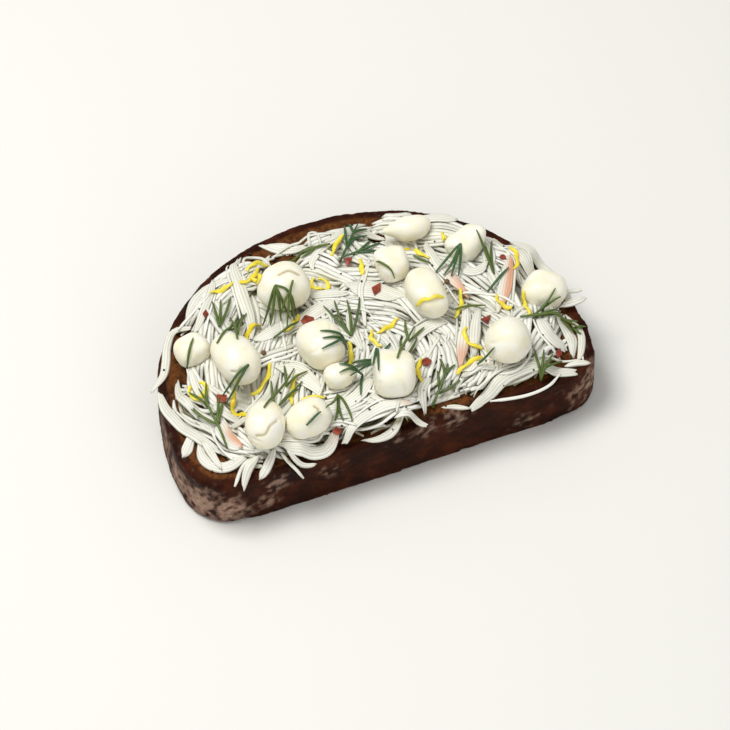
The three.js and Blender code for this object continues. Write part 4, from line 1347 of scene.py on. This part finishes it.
# Painted shade: strands deep in the heap, the grooves between fibres and the shreds' undersides
# are mixed towards a dull grey olive.
shade_share = add(
    tree,
    "ShaderNodeMath",
    {0: groove, 1: 0.45, 2: buried_shade},
    operation="MULTIPLY_ADD",
    use_clamp=True,
)
painted_shade = add(
    tree,
    "ShaderNodeMix",
    {FIRST: pink.outputs[MIXED], SECOND: colour("#9f987a"), SHARE: shade_share.outputs[0]},
    data_type="RGBA",
)
relief = add(
    tree,
    "ShaderNodeBump",
    {"Height": fibre.outputs["Fac"], "Strength": 0.25, "Distance": 0.2 * MM},
)
feed(
    tree,
    shader,
    {
        "Base Color": painted_shade.outputs[MIXED],
        "Roughness": 0.42,
        "Normal": relief.outputs["Normal"],
        "Subsurface Weight": 0.12,
        "Subsurface Radius": (1.0, 0.8, 0.6),
        "Subsurface Scale": 0.8 * MM,
    },
)


# %% Finish the heap
def paint_depth(piece):
    """Paints how deep under the pile's top each point lies, 0 on top and 1 some way down, as a
    share of painted shade.
    """
    points = points_of(piece.data)
    depth = height_at(points[:, 0], points[:, 1]) - points[:, 2]
    paint(piece.data, "buried_shade", smoothstep(0.6, 3.5, depth))


bed_piece = bed.build("crab_bed", crab_material)
shred_piece = shreds.build("crab_shreds", crab_material)
core.data.materials.append(crab_material)
# The core gets painted shade in the grooves between its ribs.
_, ribs = bundles(*points_of(core.data)[:, :2].T)
for name, value in (("tint", 0.3), ("blush", 0.0), ("groove", 1 - ribs**0.6)):
    paint(core.data, name, np.broadcast_to(value, ribs.shape))
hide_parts("crab_heap")
for piece in (core, bed_piece, shred_piece):
    paint_depth(piece)

# %% [markdown]
# ## Curds
#
# Fresh curd is soft enough to take the shape of the hand: each piece is a rounded lump,
# some squarer and some rounder, with a faint fold or two in its skin. One function gives
# them all, from the half sizes and the power in the table: 2 is an ellipsoid and 3 already
# a cushion with corners. Noise adds the lumps, and thin valleys where it crosses zero make
# the folds.


# %% Shape the curds
# Where a curd comes to a blunt corner: the direction from its middle, and how far it stands out.
CORNERS = {
    2: [(-0.9, -0.15, -0.1, 0.12)],
    7: [(0.82, 0.13, 0.5, 0.12), (-0.39, 0.67, 0.55, 0.12), (-0.12, -0.92, 0.0, 0.12)],
    8: [(0.63, 0.41, 0.6, 0.12), (-0.21, -0.88, 0.2, 0.1), (-0.56, 0.64, 0.4, 0.1)],
    11: [(0.79, 0.19, 0.57, 0.24), (-0.8, 0.2, 0.2, 0.12)],
    12: [(0.12, 0.75, 0.65, 0.14), (0.86, -0.42, 0.2, 0.12), (-0.8, 0.1, 0.2, 0.12)],
}
CORNER_SPAN = 0.1
# Creases in the skin: points of a curve, in mm right of and above a curd's middle as the
# camera sees it.
CREASES = {
    1: [(-1.4, -4.5), (0.6, -4.5), (2.1, -3.2)],
    2: [(-2.1, 4.0), (1.2, 5.5), (3.2, 5.0), (5.2, 4.0)],
    5: [(-3.0, -3.7), (0.0, -3.3), (2.0, -0.2), (4.0, 1.3)],
    6: [(2.0, 4.2), (3.3, 3.2), (3.5, 1.9)],
}
CREASE_DEPTH, CREASE_WIDTH = 0.5, 0.4
LUMP, DENT = 0.045, 0.28  # how lumpy a curd is, as a share, and how deep its dents are
FOLD_DEPTH, FOLD_WIDTH = 0.5, 0.035


def curd_mesh(index):
    """One curd's mesh, and its points in mm."""
    (x, y), half, turn, boxy, tip = CURDS[index]
    bm = bmesh.new()
    bmesh.ops.create_icosphere(bm, subdivisions=5, radius=1.0)
    d = np.array([v.co.normalized() for v in bm.verts])
    size = (np.abs(d) ** boxy).sum(axis=1) ** (-1 / boxy)
    lump = 1 + LUMP * uneven(d[:, 0] * 3 + index * 7, d[:, 1] * 3 + d[:, 2] * 2, 3)
    pull = tip * np.maximum(0, -d[:, 0]) ** 3
    stretch = np.column_stack([1 + pull, 1 - 0.75 * pull, 1 - 0.75 * pull])
    points = d * np.array(half) * (size * lump)[:, None] * stretch
    valley = fractal(points + index * 31, 14.0, 2)
    some = smoothstep(0.0, 0.4, fractal(points, 9.0, 2, 3.0 + index))
    folds = np.exp(-((valley / FOLD_WIDTH) ** 2)) * some
    dents = fractal(points + index * 17, 6.0, 2)
    length = np.linalg.norm(points, axis=1)
    points *= (1 - (FOLD_DEPTH * folds - DENT * dents) / length)[:, None]
    points = points @ turned_by(turn)
    way = points / np.linalg.norm(points, axis=1)[:, None]
    for *corner, stands_out in CORNERS.get(index, []):
        short_of = 1 - way @ (np.array(corner) / np.linalg.norm(corner))
        points *= (1 + stands_out * np.exp(-short_of / CORNER_SPAN))[:, None]
    crease = np.zeros(len(points))
    if index in CREASES:
        seen = points @ view_axes
        line = through(CREASES[index], 0.3)
        away = np.hypot(*(seen[:, None, :2] - line).transpose(2, 0, 1)).min(axis=1)
        crease = np.exp(-((away / CREASE_WIDTH) ** 2)) * smoothstep(0, 2, seen[:, 2])
        points -= CREASE_DEPTH * crease[:, None] * way
    points += (x, y, curd_height(index))
    for v, p in zip(bm.verts, points):
        v.co = p * MM
    mesh = mesh_from(bm, f"soft_curd_{index + 1:02d}")
    mesh.shade_smooth()
    # The creases' mask, which the finish turns into painted shade.
    paint(mesh, "crease", crease)
    return mesh, points


# %% [markdown]
# ### Their finish
#
# Fresh cheese is milk fat and protein full of water: light scatters deep inside it, so its
# shaded side never goes dark, and its wet skin has a soft gloss. Its creases get painted shade.

# %% Fresh curd
curd_material, tree, shader = new_material("fresh_curd")
place = add(tree, "ShaderNodeTexCoord").outputs["Object"]
cloud = add(tree, "ShaderNodeTexNoise", {"Vector": place, "Scale": 1 / (6 * MM), "Detail": 3.0})
cream = add(
    tree,
    "ShaderNodeValToRGB",
    {"Fac": cloud.outputs["Fac"]},
    [(0.3, "#faf1d2"), (0.7, "#fffcf0")],
)
# Painted shade: the creases are mixed towards a dull olive cream.
crease = add(tree, "ShaderNodeAttribute", attribute_name="crease")
crease_shade = add(
    tree,
    "ShaderNodeMix",
    {FIRST: cream.outputs["Color"], SECOND: colour("#b7a97e"), SHARE: crease.outputs["Fac"]},
    data_type="RGBA",
)
skin = add(
    tree,
    "ShaderNodeTexNoise",
    {"Vector": place, "Scale": 1 / (1.5 * MM), "Detail": 4.0, "Roughness": 0.55},
)
relief = add(
    tree,
    "ShaderNodeBump",
    {"Height": skin.outputs["Fac"], "Strength": 0.2, "Distance": 0.4 * MM},
)
feed(
    tree,
    shader,
    {
        "Base Color": crease_shade.outputs[MIXED],
        "Roughness": 0.38,
        "Normal": relief.outputs["Normal"],
        "Subsurface Weight": 0.35,
        "Subsurface Radius": (1.0, 0.85, 0.6),
        "Subsurface Scale": 3.0 * MM,
    },
)

for i in range(len(CURDS)):
    mesh, points = curd_mesh(i)
    piece = new_object(f"soft_curd_{i + 1:02d}", mesh, curd_material)
    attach(piece, "root")
    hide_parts(f"curd_{i + 1:02d}")
    raise_pile(points)

print(f"{len(CURDS)} curds, heap now {pile.max() - THICK:.1f} mm high")

# %% [markdown]
# ## Zest, chilli and pepper
#
# Zest comes off the grater as narrow ribbons of coloured rind that curl as they dry. Chilli
# flakes are scraps of skin, a little cupped, and pepper is coarse dark grit.

# %% Curls of zest
WAVER, RISE = 0.22, 0.25  # how far a curl wavers to the sides, and up and down
RIND, LIFT = 0.36, 0.43  # half its thickness, and its middle's height over what it lies on

zest = Batch("tone")
draws = stream(71)
for at, heading, length, turn in ZEST:
    path = arc(at, heading, length, turn, max(14, round(length / 0.5)))
    t = np.linspace(0, 1, len(path))
    path += sideways(path) * (WAVER * np.sin(2 * math.pi * (t * 2.2 + next(draws))))[:, None]
    waves = RISE * np.sin(2 * math.pi * (t * 1.7 + next(draws)))
    heights = rest_on_pile(path, 0.6, 6) + LIFT + waves
    shape = 0.45 + 0.55 * np.sin(math.pi * np.clip(t, 0.03, 0.97)) ** 0.6
    width = 0.8 + 0.2 * next(draws)
    twist = 0.7 * np.sin(2 * math.pi * (t * 1.2 + next(draws)))
    rings = tube(path, heights, width * shape, RIND * np.sqrt(shape), twist, sides=8)
    zest.take(rings, tone=next(draws))
    raise_by_rings(rings)

# %% Lemon rind
# Fresh rind is waxy and full of oil pores: a strong yellow that glows a little, dimpled.
zest_material, tree, shader = new_material("lemon_rind")
place = add(tree, "ShaderNodeTexCoord").outputs["Object"]
tone = add(tree, "ShaderNodeAttribute", attribute_name="tone")
yellow = add(
    tree,
    "ShaderNodeValToRGB",
    {"Fac": tone.outputs["Fac"]},
    [(0.0, "#f2d826"), (1.0, "#ffee50")],
)
pores = add(tree, "ShaderNodeTexVoronoi", {"Vector": place, "Scale": 1 / (0.5 * MM)})
relief = add(
    tree,
    "ShaderNodeBump",
    {"Height": pores.outputs["Distance"], "Strength": 0.4, "Distance": 0.15 * MM},
)
feed(
    tree,
    shader,
    {
        "Base Color": yellow.outputs["Color"],
        "Roughness": 0.4,
        "Normal": relief.outputs["Normal"],
        "Subsurface Weight": 0.15,
        "Subsurface Radius": (1.0, 0.8, 0.2),
        "Subsurface Scale": 0.6 * MM,
    },
)
zest.build("lemon_zest", zest_material)


# %% Joining small pieces
def scatter_mesh(name, pieces, material):
    """Joins small bmeshes, in mm, into one riding piece."""
    joined = bmesh.new()
    for bm in pieces:
        part = mesh_from(bm, "part")
        joined.from_mesh(part)
        bpy.data.meshes.remove(part)
    bmesh.ops.scale(joined, vec=(MM, MM, MM), verts=joined.verts)
    bmesh.ops.recalc_face_normals(joined, faces=joined.faces)
    mesh = mesh_from(joined, name)
    mesh.shade_smooth()
    piece = new_object(name, mesh, material)
    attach(piece, "root")
    print(f"{name}: {len(pieces)} pieces, {len(mesh.polygons)} faces")


def top_under(at, reach):
    """The height of the highest thing within `reach` of a point in plan."""
    offsets = np.linspace(-reach, reach, 5)
    x, y = np.meshgrid(at[0] + offsets, at[1] + offsets)
    return float(height_at(x, y).max())


# %% Chilli flakes
SKIN, ROUNDED = 0.75, 0.16  # a flake's thickness, and how much its edges are rounded
SINKS = 0.35  # how deep it lies in what is under it


def flake(at, heading, size, corners, narrow):
    """A torn, cupped scrap of skin with a few corners."""
    bm = bmesh.new()
    bmesh.ops.create_circle(bm, cap_ends=True, segments=corners, radius=size / 2)
    for v in bm.verts:
        v.co *= 1 + 0.4 * noise.noise(v.co * 0.7 + Vector((*at, 0)))
        v.co.x *= narrow
    bmesh.ops.subdivide_edges(bm, edges=bm.edges, cuts=1, smooth=0.2)
    top = bmesh.ops.extrude_face_region(bm, geom=list(bm.faces), use_keep_orig=True)["geom"]
    lifted = [v for v in top if isinstance(v, bmesh.types.BMVert)]
    bmesh.ops.translate(bm, verts=lifted, vec=(0, 0, SKIN))
    bmesh.ops.bevel(
        bm, geom=bm.edges, offset=ROUNDED, segments=2, profile=0.5, affect="EDGES", material=-1
    )
    for v in bm.verts:
        v.co.z += 0.05 * v.co.x**2 - 0.12 * v.co.y
    turn = Matrix.Rotation(math.radians(heading - 90), 3, "Z")
    bmesh.ops.rotate(bm, verts=bm.verts, cent=(0, 0, 0), matrix=turn)
    bmesh.ops.translate(bm, verts=bm.verts, vec=(*at, top_under(at, size * 0.3) - SINKS))
    return bm


# Dried pepper skin is a deep, uneven red with a slight waxy shine.
chilli_material, tree, shader = new_material("dried_chilli")
place = add(tree, "ShaderNodeTexCoord").outputs["Object"]
patch = add(tree, "ShaderNodeTexNoise", {"Vector": place, "Scale": 1 / (2 * MM), "Detail": 3.0})
red = add(
    tree,
    "ShaderNodeValToRGB",
    {"Fac": patch.outputs["Fac"]},
    [(0.35, "#6a2012"), (0.7, "#a8482c")],
)
relief = add(
    tree,
    "ShaderNodeBump",
    {"Height": patch.outputs["Fac"], "Strength": 0.5, "Distance": 0.3 * MM},
)
feed(
    tree,
    shader,
    {"Base Color": red.outputs["Color"], "Roughness": 0.35, "Normal": relief.outputs["Normal"]},
)
scatter_mesh("chilli_flakes", [flake(*row) for row in FLAKES], chilli_material)

# %% Grains of pepper
# Cracked peppercorns are matt: nearly black husk outside, brown and paler where they broke.
def pepper_material(name, grit, dark, light, rough):
    """Ground pepper: its grit in mm, its darkest and lightest colours and its roughness."""
    material, tree, shader = new_material(name)
    place = add(tree, "ShaderNodeTexCoord").outputs["Object"]
    grain = add(tree, "ShaderNodeTexNoise", {"Vector": place, "Scale": 1 / (grit * MM)})
    spotted = {"Fac": grain.outputs["Fac"]}
    tone = add(tree, "ShaderNodeValToRGB", spotted, [(0.0, dark), (1.0, light)])
    feed(tree, shader, {"Base Color": tone.outputs["Color"], "Roughness": rough})
    return material


def pepper_grain(at, size):
    """One cracked grain."""
    bm = bmesh.new()
    bmesh.ops.create_icosphere(bm, subdivisions=1, radius=size / 2)
    for v in bm.verts:
        v.co *= 1 + 0.35 * noise.noise(v.co * 3 + Vector((*at, 0)))
    bmesh.ops.translate(bm, verts=bm.verts, vec=(*at, top_under(at, size * 0.3) + size * 0.1))
    return bm


def is_on_curd(at):
    """Whether a point in plan lies on one of the curds."""
    return any(math.dist(at, middle) < max(half[:2]) + 0.5 for middle, half, *_ in CURDS)


STREWN = 84  # grains strewn, of which those on curds are left out

draws = stream(3)
grains = []
for i in range(STREWN):
    size = 0.5 + 0.5 * next(draws)
    at = spread(i, STREWN, 1.0) + 4 * np.array([next(draws) - 0.5, next(draws) - 0.5])
    if not is_on_curd(at):
        grains.append(pepper_grain(at, size))
corns = [pepper_grain(at, size) for at, size in CORNS]

black = pepper_material("black_pepper", 0.5, "#1c1512", "#4a3a2e", 0.7)
brown = pepper_material("cracked_peppercorn", 0.7, "#46301a", "#8a683c", 0.6)
scatter_mesh("pepper_grains", grains, black)
scatter_mesh("peppercorn_chips", corns, brown)

# %% [markdown]
# ## Dill
#
# A dill frond is a soft stem that forks again and again into needles hardly thicker than
# thread. Each sprig is a handful of tapering tubes that share a joint, and lies over the
# curds and strands as its own stiffness lets it.


# %% Sprigs
BEND, NEEDLE_BEND = 14, 26  # most that a stem and a needle bend, in degrees


def needle(at, heading, length, most, draws):
    """One needle's path in plan, which bends by `most` degrees at most."""
    path = arc((0, 0), heading, length, -most + 2 * most * next(draws), 14)
    return path + np.asarray(at) - path[0]


def sprig_paths(row, draws):
    """The paths of a sprig's needles, the stem first in a plume."""
    at, heading, length, needles, spread, plume = row
    stem = needle(at, heading, length, BEND, draws) if plume or needles == 1 else None
    if needles == 1:
        return [stem]
    paths = [stem] if plume else []
    for i in range(needles):
        if plume:
            fork = 1 + i // 2 % 2
            joint = stem[round(len(stem) * fork / 3)]
            turned = (1 if i % 2 else -1) * spread * (0.3 + 0.4 * next(draws))
            size = length * (1.15 - 0.15 * fork) * (0.38 + 0.17 * next(draws))
        else:
            joint, turned = at, spread * (i / (needles - 1) - 0.5)
            size = length * (0.72 + 0.28 * next(draws))
        paths.append(needle(joint, heading + turned, size, NEEDLE_BEND, draws))
    return paths


# %% Fresh dill
# Fresh leaves are matt and a full green, some bluer and deeper, some turning to olive.
dill_material, tree, shader = new_material("fresh_dill")
place = add(tree, "ShaderNodeTexCoord").outputs["Object"]
leaf = add(tree, "ShaderNodeAttribute", attribute_name="leaf")
shade = add(tree, "ShaderNodeTexNoise", {"Vector": place, "Scale": 1 / (2.5 * MM), "Detail": 2.0})
green = add(
    tree,
    "ShaderNodeValToRGB",
    {"Fac": leaf.outputs["Fac"]},
    [(0.0, "#0c4f30"), (0.5, "#3b561a"), (1.0, "#5a6b20")],
)
patchy = add(
    tree,
    "ShaderNodeMath",
    {0: shade.outputs["Fac"], 1: 0.35},
    operation="MULTIPLY",
)
mixed = add(
    tree,
    "ShaderNodeMix",
    {FIRST: green.outputs["Color"], SECOND: colour("#71853a"), SHARE: patchy.outputs[0]},
    data_type="RGBA",
)
feed(tree, shader, {"Base Color": mixed.outputs[MIXED], "Roughness": 0.45})

# %% Lay the dill
NEEDLE = 0.5  # a needle's radius
DEEP_GREEN = {5, 8, 9, 12, 14, 19, 23, 26, 27, 28}  # by place in the table, counted from 0

draws, tones = stream(5), stream(17)
for i, row in enumerate(DILL):
    sprig = Batch("leaf")
    tone = (0.0 if i in DEEP_GREEN else 0.62) + 0.3 * next(tones)
    reached = []
    for path in sprig_paths(row, draws):
        t = np.linspace(0, 1, len(path))
        heights = rest_on_pile(path, NEEDLE * 1.4, 40) + NEEDLE + 0.15
        radius = NEEDLE * (0.3 + 0.7 * np.sin(math.pi * (0.16 + 0.8 * t)) ** 0.8)
        rings = tube(path, heights, radius, radius * 0.75, 0 * t, sides=7)
        sprig.take(rings, leaf=np.clip(tone + 0.3 * (next(tones) - 0.5), 0, 1))
        reached.append(rings)
    for rings in reached:
        raise_by_rings(rings)
    sprig.build(f"dill_sprig_{i + 1:02d}", dill_material, (f"dill_{i + 1:02d}",))

# %% [markdown]
# ## Sizes at the end
#
# The dressed sandwich has to stay inside the solids' box, because others plan with that
# size.

# %% Sizes, and the end
made = [piece.data for piece in bpy.data.objects if piece.type == "MESH"]
count = {mesh.name: sum(len(face.vertices) - 2 for face in mesh.polygons) for mesh in made}
print(f"{sum(count.values())} triangles in all, at most {max(count.values())} in one mesh")

visual_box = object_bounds()
for name, corners in (("solids", solid_box), ("visual", visual_box)):
    print(name, [round(v / MM, 1) for v in (*corners[0], *corners[1])])
